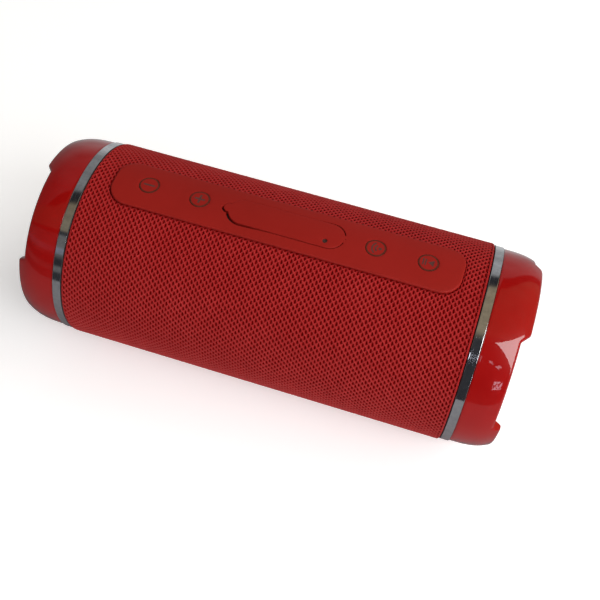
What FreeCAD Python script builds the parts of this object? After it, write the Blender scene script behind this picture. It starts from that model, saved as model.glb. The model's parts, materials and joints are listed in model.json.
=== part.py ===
import FreeCAD, Part
import math
import os
from FreeCAD import Vector

# Portable wireless speaker: a horizontal cylinder, millimetres.
# +X runs along the cylinder, -Y is the side the drivers face, +Z is up through the control panel.
# Shapes are made about the cylinder's own axis, and save() lifts them onto the sole of the foot.

# Overall sizes
AXIS_HEIGHT = 39.6
HALF_LENGTH = 93.4
RING_RADIUS = 38.1
FABRIC_RADIUS = 38.55
PANEL_RADIUS = 39.3

# Body tube, which carries everything
TUBE_RADIUS = 37.6
TUBE_BORE = 35.0
TUBE_HALF = 74.2
SPIGOT_RADIUS = 36.1
SPIGOT_END = 77.9
SPLIT_Y = 16.0
SPLIT_GAP = 0.05
BOSS_X = 66.0
BOSS_Z = 28.2
BOSS_HALF = 3.0
BOSS_REACH = 8.0
BOSS_FRONT = 10.6
BOSS_BACK = 24.0

# Bright trim rings and end caps
RING_START = 74.55
RING_END = 77.9
CAP_START = 78.0
CAP_RADIUS = 37.7
CAP_TIP_RADIUS = 34.6
CAP_CURVE = 3.2
CAP_FLANGE = 2.5
CAP_MOUTH_RADIUS = 32.4
CAP_THROAT_RADIUS = 30.2
CAP_THROAT_ROUND = 1.0
CAP_SPIGOT_REACH = 5.0
CAP_SPIGOT_WALL = 1.4
CAP_SPIGOT_GAP = 0.2
RIM_ROUND = 0.9
NOTCH_DEPTH = 2.8
NOTCH_COUNT = 3
NOTCH_SPAN = 56.5
NOTCH_LEAD_IN = 5.5
NOTCH_LEAD_OUT = 2.5
RIGHT_NOTCH_START = 28.0
LEFT_NOTCH_START = 5.0

# Fabric sleeve
FABRIC_HALF = 73.9
FABRIC_INNER = 37.65
FABRIC_EDGE_ROUND = 2.0
FABRIC_EDGE_RADIUS = 37.95

# Control panel, its keys and the port cover
PANEL_HALF_LENGTH = 65.6
PANEL_HALF_WIDTH = 10.2
PANEL_CORNER = 7.0
PANEL_LIP = 2.2
PANEL_LIP_UNDERSIDE = 38.6
PANEL_SEAT = 37.65
SLEEVE_GAP = 0.3
KEY_CENTRES = {"minus": -52.3, "plus": -32.7, "wireless": 33.5, "play": 52.7}
KEY_RADIUS = 3.7
KEY_GAP = 0.15
KEY_UNDERSIDE = 38.15
KEY_POST_RADIUS = 1.6
KEY_POST_END = 35.2
KEY_POST_GAP = 0.6
COVER_CENTRE = 0.25
COVER_HALF_LENGTH = 21.75
COVER_HALF_WIDTH = 5.7
COVER_GAP = 0.3
COVER_UNDERSIDE = 37.9
COVER_TAB_END = -23.4
COVER_TAB_HALF = 2.0
PLUG_START = -18.6
PLUG_END = 12.6
PLUG_GAP = 0.5
PLUG_UNDERSIDE = 36.6
MIC_X = 15.5
MIC_HOLE_Y = -3.0
MIC_HOLE_RADIUS = 0.9

# Port tray and sockets
TRAY_HALF_LENGTH = 20.3
TRAY_HALF_WIDTH = 4.75
TRAY_WALL = 0.8
TRAY_TOP = 37.0
TRAY_FLOOR = 31.6
TRAY_FLOOR_THICKNESS = 1.2
AUX_X = -15.0
CHARGE_X = -6.6
CARD_X = 4.6

# Boards, switches and battery
BOARD_HALF_LENGTH = 62.0
BOARD_HALF_WIDTH = 10.0
BOARD_TOP = 30.0
BOARD_THICKNESS = 1.6
BOARD_WINDOW_X = 21.5
BOARD_WINDOW_Y = 5.6
BOARD_POST_X = 58.5
BOARD_POST_Y = 6.5
BOARD_POST_RADIUS = 2.0
BOARD_POST_END = 36.0
PORT_BOARD_TOP = 23.6
PORT_BOARD_HALF_LENGTH = 27.0
PORT_BOARD_HALF_WIDTH = 7.0
SPACER_X = 24.5
SWITCH_SIZE = 6.0
SWITCH_TOP = 33.4
PLUNGER_RADIUS = 1.7
PLUNGER_TOP = 35.1
BATTERY_RADIUS = 9.2
BATTERY_HALF = 32.6
BATTERY_Y = 13.0
BATTERY_Z = -12.0

# Full-range drivers, one each side, facing -Y
DRIVER_X = 38.0
WINDOW_RADIUS = 19.5
BAFFLE_FRONT = -26.6
BAFFLE_BACK = -24.6
BAFFLE_HALF_WIDTH = 24.5
DRIVER_RADIUS = 23.2
DRIVER_SCREW_CIRCLE = 21.9
DRIVER_SCREW_HEAD = 1.25
FLANGE_BACK = BAFFLE_BACK + 1.4
BASKET_FLOOR = -12.6
BASKET_END = -11.2
MAGNET_RADIUS = 15.0
MAGNET_BORE = 9.0
POLE_RADIUS = 14.4
POLE_HOLE = 7.7
POLE_CORE = 6.0
COIL_BORE = 6.5
COIL_FORMER = 6.9
COIL_RADIUS = 7.3
CONE_EDGE = 15.0
CONE_NECK = 6.1
DUST_CAP_RADIUS = 9.2
SPIDER_INNER = 7.6
SPIDER_OUTER = 14.2

# Passive radiators, one in each end
RADIATOR_FACE = 77.9
RADIATOR_RADIUS = 32.6
RADIATOR_FRAME_DEPTH = 2.4
RADIATOR_WINDOW = 27.6
RADIATOR_PLATE_RADIUS = 20.2
RADIATOR_SCREW_CIRCLE = 30.3

# Foot
FOOT_HALF_LENGTH = 50.0
FOOT_HALF_WIDTH = 9.0
FOOT_CORNER = 6.0

# Screws: radius of the thread, of the hole it bites into, and of the hole it passes through
SCREW_THREAD = 0.9
SCREW_PILOT = 0.95
SCREW_CLEARANCE = 1.05
SLOT_HALF = 0.25
COVER_SCREW_HEAD = 2.0
COVER_SCREW_SEAT = 20.0

X_DIR = Vector(1, 0, 0)
Y_DIR = Vector(0, 1, 0)
Z_DIR = Vector(0, 0, 1)
FAR = 60.0


def rod_x(radius, x0, x1, y=0.0, z=0.0):
    return Part.makeCylinder(radius, x1 - x0, Vector(x0, y, z), X_DIR)


def rod_y(radius, y0, y1, x=0.0, z=0.0):
    return Part.makeCylinder(radius, y1 - y0, Vector(x, y0, z), Y_DIR)


def rod_z(radius, z0, z1, x=0.0, y=0.0):
    return Part.makeCylinder(radius, z1 - z0, Vector(x, y, z0), Z_DIR)


def tube_x(outer, inner, x0, x1):
    return rod_x(outer, x0, x1).cut(rod_x(inner, x0 - 1, x1 + 1))


def tube_y(outer, inner, y0, y1, x=0.0):
    return rod_y(outer, y0, y1, x).cut(rod_y(inner, y0 - 1, y1 + 1, x))


def block(x0, x1, y0, y1, z0, z1):
    return Part.makeBox(x1 - x0, y1 - y0, z1 - z0, Vector(x0, y0, z0))


def rounded_prism(x0, x1, half_width, corner, z0, z1):
    """A vertical prism with an upright outline whose four corners are round."""
    body = block(x0 + corner, x1 - corner, -half_width, half_width, z0, z1)
    if corner < half_width:
        body = body.fuse(block(x0, x1, -half_width + corner, half_width - corner, z0, z1))
    for x in (x0 + corner, x1 - corner):
        for y in (-half_width + corner, half_width - corner):
            body = body.fuse(rod_z(corner, z0, z1, x, y))
    return body.removeSplitter()


def curved_slab(outline, inner, outer):
    """The part of an upright prism that lies between two radii of the body."""
    return outline.common(tube_x(outer, inner, -FAR * 2, FAR * 2))


def revolve_x(points):
    """A closed (x, radius) outline turned about the body's axis."""
    corners = [Vector(x, 0, radius) for x, radius in points]
    face = Part.Face(Part.makePolygon(corners + corners[:1]))
    return face.revolve(Vector(0, 0, 0), X_DIR, 360)


def revolve_y(points, x):
    """A closed (y, radius) outline turned about a driver's axis."""
    corners = [Vector(x + radius, y, 0) for y, radius in points]
    face = Part.Face(Part.makePolygon(corners + corners[:1]))
    return face.revolve(Vector(x, 0, 0), Y_DIR, 360)


def mirrored(shape):
    return shape.mirror(Vector(0, 0, 0), X_DIR)


def save(name, shape):
    """Lift a finished piece onto its foot and write it."""
    placed = shape.copy()
    placed.translate(Vector(0, 0, AXIS_HEIGHT))
    placed.exportStep("parts/" + name + ".step")
    solids = len(placed.Solids)
    print(name, "solids", solids, "valid", placed.isValid(), "volume", round(placed.Volume, 1))


def cap_radius(x):
    """The end cap swells out of the ring and turns in towards its rim."""
    share = (x - CAP_START) / (HALF_LENGTH - CAP_START)
    return CAP_RADIUS - (CAP_RADIUS - CAP_TIP_RADIUS) * share ** CAP_CURVE


def notch_cutter(start):
    """A wedge with slanted flanks. Angles run from the crown towards the front."""
    floor_x = HALF_LENGTH - NOTCH_DEPTH
    rise = 2.0
    end = start + NOTCH_SPAN
    wires = []
    for x, grow in ((floor_x, 0.0), (floor_x + rise * NOTCH_DEPTH, rise)):
        first = start - grow * NOTCH_LEAD_IN
        last = end + grow * NOTCH_LEAD_OUT
        corners = [Vector(x, 0, 0)]
        for step in range(3):
            angle = math.radians(first + (last - first) * step / 2)
            corners.append(Vector(x, -FAR * math.sin(angle), FAR * math.cos(angle)))
        wires.append(Part.makePolygon(corners + corners[:1]))
    return Part.makeLoft(wires, True, True)


def end_cap(notch_start):
    """Glossy end cap, drawn on the +X side: bowl, notched rim, flange and spigot."""
    curve_end = HALF_LENGTH - RIM_ROUND
    steps = 6
    outer = []
    for step in range(steps + 1):
        x = CAP_START + (curve_end - CAP_START) * step / steps
        outer.append(Vector(x, 0, cap_radius(x)))
    curve = Part.BSplineCurve()
    curve.interpolate(outer)
    rim_outer = Vector(HALF_LENGTH, 0, outer[-1].z - RIM_ROUND)
    rim_turn = Vector(HALF_LENGTH - 0.25 * RIM_ROUND, 0, outer[-1].z - 0.3 * RIM_ROUND)
    rim_arc = Part.Arc(outer[-1], rim_turn, rim_outer).toShape()
    flange_x = CAP_START + CAP_FLANGE
    spigot_outer = TUBE_BORE - CAP_SPIGOT_GAP
    inside = [
        (HALF_LENGTH, CAP_MOUTH_RADIUS),
        (flange_x + CAP_THROAT_ROUND, CAP_THROAT_RADIUS),
        (flange_x, CAP_THROAT_RADIUS - CAP_THROAT_ROUND),
        (flange_x, RADIATOR_WINDOW + 1.0),
        (CAP_START, RADIATOR_WINDOW + 1.0),
        (CAP_START, spigot_outer - CAP_SPIGOT_WALL),
        (CAP_START - CAP_SPIGOT_REACH, spigot_outer - CAP_SPIGOT_WALL),
        (CAP_START - CAP_SPIGOT_REACH, spigot_outer),
        (CAP_START, spigot_outer),
        (CAP_START, CAP_RADIUS),
    ]
    corners = [rim_outer] + [Vector(x, 0, radius) for x, radius in inside]
    edges = [curve.toShape(), rim_arc] + Part.makePolygon(corners).Edges
    body = Part.Face(Part.Wire(Part.__sortEdges__(edges))).revolve(Vector(0, 0, 0), X_DIR, 360)
    for number in range(NOTCH_COUNT):
        body = body.cut(notch_cutter(notch_start + number * 360.0 / NOTCH_COUNT))
    for y, z in radiator_screw_places():
        body = body.cut(rod_x(SCREW_PILOT, CAP_START - 1, CAP_START + 1.8, y, z))
    return body


def radiator_screw_places():
    reach = RADIATOR_SCREW_CIRCLE * math.sqrt(0.5)
    return [(reach * a, reach * b) for a in (-1, 1) for b in (-1, 1)]


def trim_ring():
    """Bright ring with softened edges, between the fabric and the cap."""
    soft = 0.35
    inner = SPIGOT_RADIUS + 0.1
    return revolve_x([
        (RING_START, inner),
        (RING_START, RING_RADIUS - soft),
        (RING_START + soft, RING_RADIUS),
        (RING_END - soft, RING_RADIUS),
        (RING_END, RING_RADIUS - soft),
        (RING_END, inner),
    ])


def radiator_frame():
    """Ring that clamps the radiator's rubber to the cap's flange."""
    ring = tube_x(RADIATOR_RADIUS, RADIATOR_WINDOW, RADIATOR_FACE - RADIATOR_FRAME_DEPTH, RADIATOR_FACE)
    for y, z in radiator_screw_places():
        ring = ring.cut(rod_x(SCREW_CLEARANCE, RADIATOR_FACE - 4, RADIATOR_FACE + 1, y, z))
    return ring


def half_roll(inner, outer, face, height, thickness, sign):
    """(place, radius) outline of a flexible half-round roll with flat lips."""
    steps = 12
    middle = (inner + outer) / 2
    reach = (outer - inner) / 2 - 1.0
    top = []
    under = []
    for step in range(steps + 1):
        angle = math.pi * step / steps
        side = -math.cos(angle)
        rise = math.sin(angle)
        top.append((face + sign * (height * rise + thickness), middle + (reach + thickness) * side))
        under.append((face + sign * height * rise, middle + reach * side))
    lip_inner = [(face, inner), (face + sign * thickness, inner)]
    lip_outer = [(face + sign * thickness, outer), (face, outer)]
    return lip_inner + top + lip_outer + under[::-1]


def radiator_surround():
    inner = RADIATOR_PLATE_RADIUS + 0.35
    outer = RADIATOR_WINDOW - 0.05
    return revolve_x(half_roll(inner, outer, RADIATOR_FACE - 1.6, 2.4, 0.6, 1))


def radiator_plate():
    """Weighted plate, thicker in the middle, that moves in and out along X."""
    face = RADIATOR_FACE
    radius = RADIATOR_PLATE_RADIUS
    return revolve_x([
        (face - 2.0, 0.0),
        (face + 0.4, 0.0),
        (face + 0.4, radius - 4.0),
        (face - 0.4, radius - 2.6),
        (face - 0.4, radius),
        (face - 2.0, radius),
    ])


def radiator_screws():
    screws = []
    seat = RADIATOR_FACE - RADIATOR_FRAME_DEPTH
    for y, z in radiator_screw_places():
        head = rod_x(1.8, seat - 1.2, seat, y, z)
        slot = block(seat - 1.3, seat - 0.7, y - SLOT_HALF, y + SLOT_HALF, z - 2, z + 2)
        shank = rod_x(SCREW_THREAD, seat, CAP_START + 1.5, y, z)
        screws.append(head.cut(slot).fuse(shank))
    return screws


def fabric_sleeve():
    """Stretched knit over the tube, with windows for the panel and the foot."""
    start = FABRIC_HALF - FABRIC_EDGE_ROUND
    drop = FABRIC_RADIUS - FABRIC_EDGE_RADIUS
    outline = [(FABRIC_HALF, FABRIC_INNER)]
    steps = 4
    for step in range(steps + 1):
        angle = math.radians(90.0 * step / steps)
        x = start + FABRIC_EDGE_ROUND * math.cos(angle)
        outline.append((x, FABRIC_EDGE_RADIUS + drop * math.sin(angle)))
    outline = outline + [(-x, radius) for x, radius in reversed(outline)]
    sleeve = revolve_x(outline)
    inset = PANEL_LIP - SLEEVE_GAP
    half = PANEL_HALF_LENGTH - inset
    window = rounded_prism(-half, half, PANEL_HALF_WIDTH - inset, PANEL_CORNER - inset, 20, 50)
    foot_half = FOOT_HALF_LENGTH + SLEEVE_GAP
    foot_width = FOOT_HALF_WIDTH + SLEEVE_GAP
    foot_window = rounded_prism(-foot_half, foot_half, foot_width, FOOT_CORNER, -50, -20)
    return sleeve.cut(window).cut(foot_window)


def body_tube():
    outside = rod_x(TUBE_RADIUS, -TUBE_HALF, TUBE_HALF).fuse(rod_x(SPIGOT_RADIUS, -SPIGOT_END, SPIGOT_END))
    return outside.cut(rod_x(TUBE_BORE, -FAR * 2, FAR * 2))


def cover_screw_places():
    return [(x, z) for x in (-BOSS_X, 0.0, BOSS_X) for z in (-BOSS_Z, BOSS_Z)]


def boss(x, z, y0, y1):
    """A lug that grows from the tube's bore and takes one rear-cover screw."""
    outwards = math.copysign(1, z)
    low, high = sorted((z - BOSS_HALF * outwards, z + BOSS_REACH * outwards))
    lug = block(x - BOSS_HALF, x + BOSS_HALF, y0, y1, low, high)
    return lug.common(rod_x(TUBE_BORE + 0.5, -FAR * 2, FAR * 2))


def tray_outline(margin, z0, z1):
    half = TRAY_HALF_LENGTH + margin
    width = TRAY_HALF_WIDTH + margin
    return rounded_prism(-half, half, width, width, z0, z1)


def front_shell():
    """Main half of the tube: driver baffles, board posts, lugs, key holes and port window."""
    shell = body_tube().cut(block(-FAR * 2, FAR * 2, SPLIT_Y - SPLIT_GAP, FAR, -FAR, FAR))
    for side in (-1, 1):
        x = side * DRIVER_X
        baffle = block(x - BAFFLE_HALF_WIDTH, x + BAFFLE_HALF_WIDTH, BAFFLE_FRONT, BAFFLE_BACK, -FAR, FAR)
        shell = shell.fuse(baffle.common(rod_x(TUBE_BORE + 0.5, -FAR * 2, FAR * 2)))
    for x, z in cover_screw_places():
        shell = shell.fuse(boss(x, z, BOSS_FRONT, SPLIT_Y - SPLIT_GAP))
    for x in (-BOARD_POST_X, BOARD_POST_X):
        for y in (-BOARD_POST_Y, BOARD_POST_Y):
            post = rod_z(BOARD_POST_RADIUS, BOARD_TOP, BOARD_POST_END, x, y)
            shell = shell.fuse(post.common(rod_x(TUBE_BORE + 0.5, -FAR * 2, FAR * 2)))
            shell = shell.cut(rod_z(SCREW_PILOT, BOARD_TOP - 1, BOARD_TOP + 3.6, x, y))
    for side in (-1, 1):
        x = side * DRIVER_X
        shell = shell.cut(rod_y(WINDOW_RADIUS, -FAR, BAFFLE_BACK + 1, x))
        for dx, dz in driver_screw_places():
            shell = shell.cut(rod_y(SCREW_PILOT, BAFFLE_BACK - 1.6, BAFFLE_BACK + 1, x + dx, dz))
    for x in KEY_CENTRES.values():
        shell = shell.cut(rod_z(KEY_POST_RADIUS + KEY_POST_GAP, 30, 45, x))
    for x, z in cover_screw_places():
        shell = shell.cut(rod_y(SCREW_PILOT, BOSS_FRONT + 1, SPLIT_Y + 1, x, z))
    return shell.cut(tray_outline(0.1, 20, 50)).removeSplitter()


def rear_cover():
    """Rear strip of the tube, closed onto the front shell by six screws."""
    cover = body_tube().common(block(-FAR * 2, FAR * 2, SPLIT_Y + SPLIT_GAP, FAR, -FAR, FAR))
    for x, z in cover_screw_places():
        cover = cover.fuse(boss(x, z, SPLIT_Y + SPLIT_GAP, BOSS_BACK))
    for x, z in cover_screw_places():
        cover = cover.cut(rod_y(SCREW_CLEARANCE + 0.1, SPLIT_Y - 1, FAR, x, z))
        cover = cover.cut(rod_y(COVER_SCREW_HEAD + 0.2, COVER_SCREW_SEAT, FAR, x, z))
    return cover.removeSplitter()


def rear_cover_screws():
    screws = []
    for x, z in cover_screw_places():
        seat = COVER_SCREW_SEAT
        head = rod_y(COVER_SCREW_HEAD, seat, seat + 1.4, x, z)
        cross = block(x - 1.4, x + 1.4, seat + 0.8, seat + 2, z - SLOT_HALF, z + SLOT_HALF)
        cross = cross.fuse(block(x - SLOT_HALF, x + SLOT_HALF, seat + 0.8, seat + 2, z - 1.4, z + 1.4))
        screws.append(head.cut(cross).fuse(rod_y(SCREW_THREAD, seat - 8, seat, x, z)))
    return screws


def base_foot():
    """Rubber foot with a flat sole, moulded to the tube."""
    half = FOOT_HALF_LENGTH
    pad = rounded_prism(-half, half, FOOT_HALF_WIDTH, FOOT_CORNER, -AXIS_HEIGHT, -30)
    return pad.cut(rod_x(PANEL_SEAT, -FAR * 2, FAR * 2))


def cover_outline(margin, z0, z1):
    """Outline of the port cover with its finger tab, grown all round by a margin."""
    left = COVER_CENTRE - COVER_HALF_LENGTH - margin
    right = COVER_CENTRE + COVER_HALF_LENGTH + margin
    width = COVER_HALF_WIDTH + margin
    pill = rounded_prism(left, right, width, width, z0, z1)
    tab_half = COVER_TAB_HALF + margin
    tab_end = COVER_TAB_END - margin + tab_half
    tab = block(tab_end, left + COVER_HALF_WIDTH, -tab_half, tab_half, z0, z1)
    return pill.fuse(tab).fuse(rod_z(tab_half, z0, z1, tab_end)).removeSplitter()


def control_panel():
    """Silicone skin: a lip lies on the fabric and the body goes through it to the tube."""
    half = PANEL_HALF_LENGTH
    lip = rounded_prism(-half, half, PANEL_HALF_WIDTH, PANEL_CORNER, 20, 50)
    inner = half - PANEL_LIP
    body = rounded_prism(-inner, inner, PANEL_HALF_WIDTH - PANEL_LIP, PANEL_CORNER - PANEL_LIP, 20, 50)
    panel = curved_slab(lip, PANEL_LIP_UNDERSIDE, PANEL_RADIUS)
    panel = panel.fuse(curved_slab(body, PANEL_SEAT, PANEL_LIP_UNDERSIDE + 0.1))
    for x in KEY_CENTRES.values():
        panel = panel.cut(rod_z(KEY_RADIUS + KEY_GAP, 20, 50, x))
    return panel.cut(cover_outline(COVER_GAP, 20, 50)).removeSplitter()


def key_pad(x):
    """Round key with the post that reaches its switch."""
    cap = curved_slab(rod_z(KEY_RADIUS, 20, 50, x), KEY_UNDERSIDE, PANEL_RADIUS)
    return cap.fuse(rod_z(KEY_POST_RADIUS, KEY_POST_END, KEY_UNDERSIDE + 0.2, x)).removeSplitter()


def port_cover():
    """Pill-shaped flap with a finger tab and a sealing plug. It hinges at its +X tip."""
    flap = curved_slab(cover_outline(0.0, 20, 50), COVER_UNDERSIDE, PANEL_RADIUS)
    width = TRAY_HALF_WIDTH - TRAY_WALL - PLUG_GAP
    plug = rounded_prism(PLUG_START, PLUG_END, width, width, PLUG_UNDERSIDE, COVER_UNDERSIDE + 0.1)
    hole = rod_z(MIC_HOLE_RADIUS, 20, 50, MIC_X, MIC_HOLE_Y)
    return flap.fuse(plug).cut(hole).removeSplitter()


def port_tray():
    """Deep cup under the cover, with a cut-out in its floor for each socket."""
    bottom = TRAY_FLOOR - TRAY_FLOOR_THICKNESS
    cup = tray_outline(0.0, bottom, TRAY_TOP).cut(tray_outline(-TRAY_WALL, TRAY_FLOOR, TRAY_TOP + 1))
    for x, half_x, half_y in socket_sizes():
        cup = cup.cut(block(x - half_x - 0.1, x + half_x + 0.1, -half_y - 0.1, half_y + 0.1, 20, 40))
    return cup


def socket_sizes():
    """Centre, half length and half width of each socket's body."""
    return [(AUX_X, 3.0, 3.0), (CHARGE_X, 4.1, 1.7), (CARD_X, 6.1, 1.4)]


def socket_body(index):
    x, half_x, half_y = socket_sizes()[index]
    return block(x - half_x, x + half_x, -half_y, half_y, PORT_BOARD_TOP, TRAY_FLOOR)


def aux_jack():
    body = socket_body(0)
    return body.cut(rod_z(1.8, TRAY_FLOOR - 7.0, TRAY_FLOOR + 1, AUX_X))


def charge_socket():
    """Metal shell round a contact tongue."""
    body = socket_body(1)
    mouth = block(CHARGE_X - 3.8, CHARGE_X + 3.8, -1.4, 1.4, TRAY_FLOOR - 5.0, TRAY_FLOOR + 1)
    tongue = block(CHARGE_X - 2.0, CHARGE_X + 2.0, -0.35, 0.35, TRAY_FLOOR - 5.5, TRAY_FLOOR - 0.8)
    return body.cut(mouth).fuse(tongue)


def card_slot():
    body = socket_body(2)
    return body.cut(block(CARD_X - 5.6, CARD_X + 5.6, -0.5, 0.5, TRAY_FLOOR - 6.0, TRAY_FLOOR + 1))


def microphone():
    capsule = rod_z(1.9, TRAY_FLOOR + 0.02, TRAY_FLOOR + 2.2, MIC_X, -1.9)
    return capsule.cut(rod_z(0.5, TRAY_FLOOR + 1.8, TRAY_FLOOR + 3, MIC_X, -1.9))


def main_board():
    """Long circuit board with a window for the port tray and four screw holes."""
    board = block(-BOARD_HALF_LENGTH, BOARD_HALF_LENGTH, -BOARD_HALF_WIDTH, BOARD_HALF_WIDTH,
                  BOARD_TOP - BOARD_THICKNESS, BOARD_TOP - 0.02)
    board = board.cut(block(-BOARD_WINDOW_X, BOARD_WINDOW_X, -BOARD_WINDOW_Y, BOARD_WINDOW_Y, 20, 40))
    for x in (-BOARD_POST_X, BOARD_POST_X):
        for y in (-BOARD_POST_Y, BOARD_POST_Y):
            board = board.cut(rod_z(1.1, 20, 40, x, y))
    return board


def board_screws():
    screws = []
    underside = BOARD_TOP - BOARD_THICKNESS
    for x in (-BOARD_POST_X, BOARD_POST_X):
        for y in (-BOARD_POST_Y, BOARD_POST_Y):
            head = rod_z(1.7, underside - 1.3, underside, x, y)
            slot = block(x - 2, x + 2, y - SLOT_HALF, y + SLOT_HALF, underside - 1.4, underside - 0.8)
            screws.append(head.cut(slot).fuse(rod_z(SCREW_THREAD, underside, underside + 4.6, x, y)))
    return screws


def board_chips():
    """Controller, amplifier, regulator coil and connectors under the main board."""
    top = BOARD_TOP - BOARD_THICKNESS
    places = [(-44.0, 0.0, 4.0, 4.0, 1.2), (-30.0, 2.0, 2.6, 3.6, 1.4), (32.0, -2.5, 3.2, 3.2, 2.6),
              (44.0, 2.0, 3.0, 2.0, 2.4), (-54.0, -5.0, 1.5, 3.0, 1.6), (48.5, -6.0, 3.0, 2.0, 3.0)]
    return [block(x - a, x + a, y - b, y + b, top - h, top - 0.02) for x, y, a, b, h in places]


def port_board():
    half, width = PORT_BOARD_HALF_LENGTH, PORT_BOARD_HALF_WIDTH
    board = block(-half, half, -width, width, PORT_BOARD_TOP - BOARD_THICKNESS, PORT_BOARD_TOP - 0.02)
    for x in (-SPACER_X, SPACER_X):
        board = board.cut(rod_z(1.0, 20, 30, x))
    return board


def board_spacers():
    """Pillars that hang the port board under the main board."""
    spacers = []
    for x in (-SPACER_X, SPACER_X):
        pillar = rod_z(1.8, PORT_BOARD_TOP, BOARD_TOP - BOARD_THICKNESS - 0.02, x)
        spacers.append(pillar.fuse(rod_z(SCREW_THREAD, PORT_BOARD_TOP - 2.4, PORT_BOARD_TOP, x)))
    return spacers


def switch_bodies():
    half = SWITCH_SIZE / 2
    bodies = []
    for x in KEY_CENTRES.values():
        body = block(x - half, x + half, -half, half, BOARD_TOP, SWITCH_TOP)
        bodies.append(body.cut(rod_z(PLUNGER_RADIUS + 0.1, SWITCH_TOP - 1.6, SWITCH_TOP + 1, x)))
    return bodies


def switch_plunger(x):
    return rod_z(PLUNGER_RADIUS, SWITCH_TOP - 0.9, PLUNGER_TOP, x)


def battery_cell():
    """Rechargeable cell with its raised terminal."""
    can = rod_x(BATTERY_RADIUS, -BATTERY_HALF, BATTERY_HALF, BATTERY_Y, BATTERY_Z)
    return can.fuse(rod_x(2.8, BATTERY_HALF, BATTERY_HALF + 0.9, BATTERY_Y, BATTERY_Z))


def battery_cradle():
    """Two saddles on a strip, bonded to the rear cover."""
    cradle = block(-26.0, 26.0, 24.5, FAR, -17.0, -7.0)
    for x in (-22.0, 22.0):
        cradle = cradle.fuse(block(x - 4.0, x + 4.0, 17.0, FAR, -22.0, -2.0))
    cradle = cradle.common(rod_x(TUBE_BORE - 0.05, -FAR, FAR))
    return cradle.cut(rod_x(BATTERY_RADIUS + 0.1, -FAR, FAR, BATTERY_Y, BATTERY_Z)).removeSplitter()


def driver_screw_places():
    reach = DRIVER_SCREW_CIRCLE * math.sqrt(0.5)
    return [(reach * a, reach * b) for a in (-1, 1) for b in (-1, 1)]


def driver_basket(x):
    """Stamped frame: mounting flange, sloping arms with windows and a rear seat."""
    face = BAFFLE_BACK + 0.05
    basket = revolve_y([
        (face, 19.35), (face, DRIVER_RADIUS), (FLANGE_BACK, DRIVER_RADIUS), (FLANGE_BACK, 20.5),
        (BASKET_FLOOR, 15.6), (BASKET_END, 15.6), (BASKET_END, 8.6), (BASKET_END - 1, 8.6),
        (BASKET_END - 1, 14.4), (BASKET_FLOOR - 0.6, 14.4), (FLANGE_BACK, 19.35),
    ], x)
    for number in range(4):
        window = block(x - 3.5, x + 3.5, FLANGE_BACK + 1.2, BASKET_FLOOR - 1.4, 10.0, 30.0)
        window.rotate(Vector(x, 0, 0), Y_DIR, 90.0 * number)
        basket = basket.cut(window)
    for dx, dz in driver_screw_places():
        basket = basket.cut(rod_y(SCREW_CLEARANCE, face - 1, face + 3, x + dx, dz))
    terminal = block(x - 3.0, x + 3.0, BASKET_FLOOR, BASKET_END, 15.0, 16.9)
    return basket.fuse(terminal).removeSplitter()


def driver_magnet(x):
    return tube_y(MAGNET_RADIUS, MAGNET_BORE, -9.15, -3.05, x)


def driver_poles(x):
    """Front plate, and back plate with the centre pole."""
    front = tube_y(POLE_RADIUS, POLE_HOLE, BASKET_END + 0.05, -9.2, x)
    back = rod_y(POLE_RADIUS, -3.0, -1.0, x).fuse(rod_y(POLE_CORE, BASKET_END + 0.1, -2.9, x))
    return [front, back.removeSplitter()]


def driver_spider(x):
    """Corrugated centring disc, glued on the basket's step and clear of the coil."""
    points = []
    waves = 8
    for step in range(waves + 1):
        radius = SPIDER_INNER + (SPIDER_OUTER - SPIDER_INNER) * step / waves
        points.append((BASKET_FLOOR - 1.4 + 0.5 * (step % 2), radius))
    back = [(y + 0.3, radius) for y, radius in reversed(points)]
    return revolve_y(points + back, x)


def driver_surround(x):
    return revolve_y(half_roll(15.4, 19.2, BAFFLE_BACK + 0.3, 1.5, 0.35, -1), x)


def driver_cone(x):
    edge = [(BAFFLE_BACK + 0.4, CONE_EDGE), (BAFFLE_BACK + 0.8, CONE_EDGE)]
    neck = [(-17.1, COIL_FORMER), (-16.4, COIL_FORMER), (-16.4, CONE_NECK), (-17.4, CONE_NECK)]
    return revolve_y(edge + neck, x)


def driver_dust_cap(x):
    """Shallow dome over the coil, sitting on the cone's neck."""
    steps = 6
    dome = []
    for step in range(steps + 1):
        angle = math.radians(40.0 * step / steps)
        rise = DUST_CAP_RADIUS * math.cos(angle)
        dome.append((-9.6 - rise, DUST_CAP_RADIUS * math.sin(angle)))
    inner = [(y + 0.3, radius) for y, radius in reversed(dome)]
    return revolve_y(dome + inner, x)


def driver_coil(x):
    """Former and winding in the magnet's gap."""
    former = tube_y(COIL_FORMER, COIL_BORE, -16.35, -7.0, x)
    return former.fuse(tube_y(COIL_RADIUS, COIL_FORMER, -12.4, -8.4, x)).removeSplitter()


def driver_screws():
    screws = []
    back = FLANGE_BACK
    for side in (-1, 1):
        for dx, dz in driver_screw_places():
            x = side * DRIVER_X + dx
            head = rod_y(DRIVER_SCREW_HEAD, back, back + 1.2, x, dz)
            slot = block(x - 2, x + 2, back + 0.7, back + 2, dz - SLOT_HALF, dz + SLOT_HALF)
            screws.append(head.cut(slot).fuse(rod_y(SCREW_THREAD, back - 2.8, back, x, dz)))
    return screws


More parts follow.
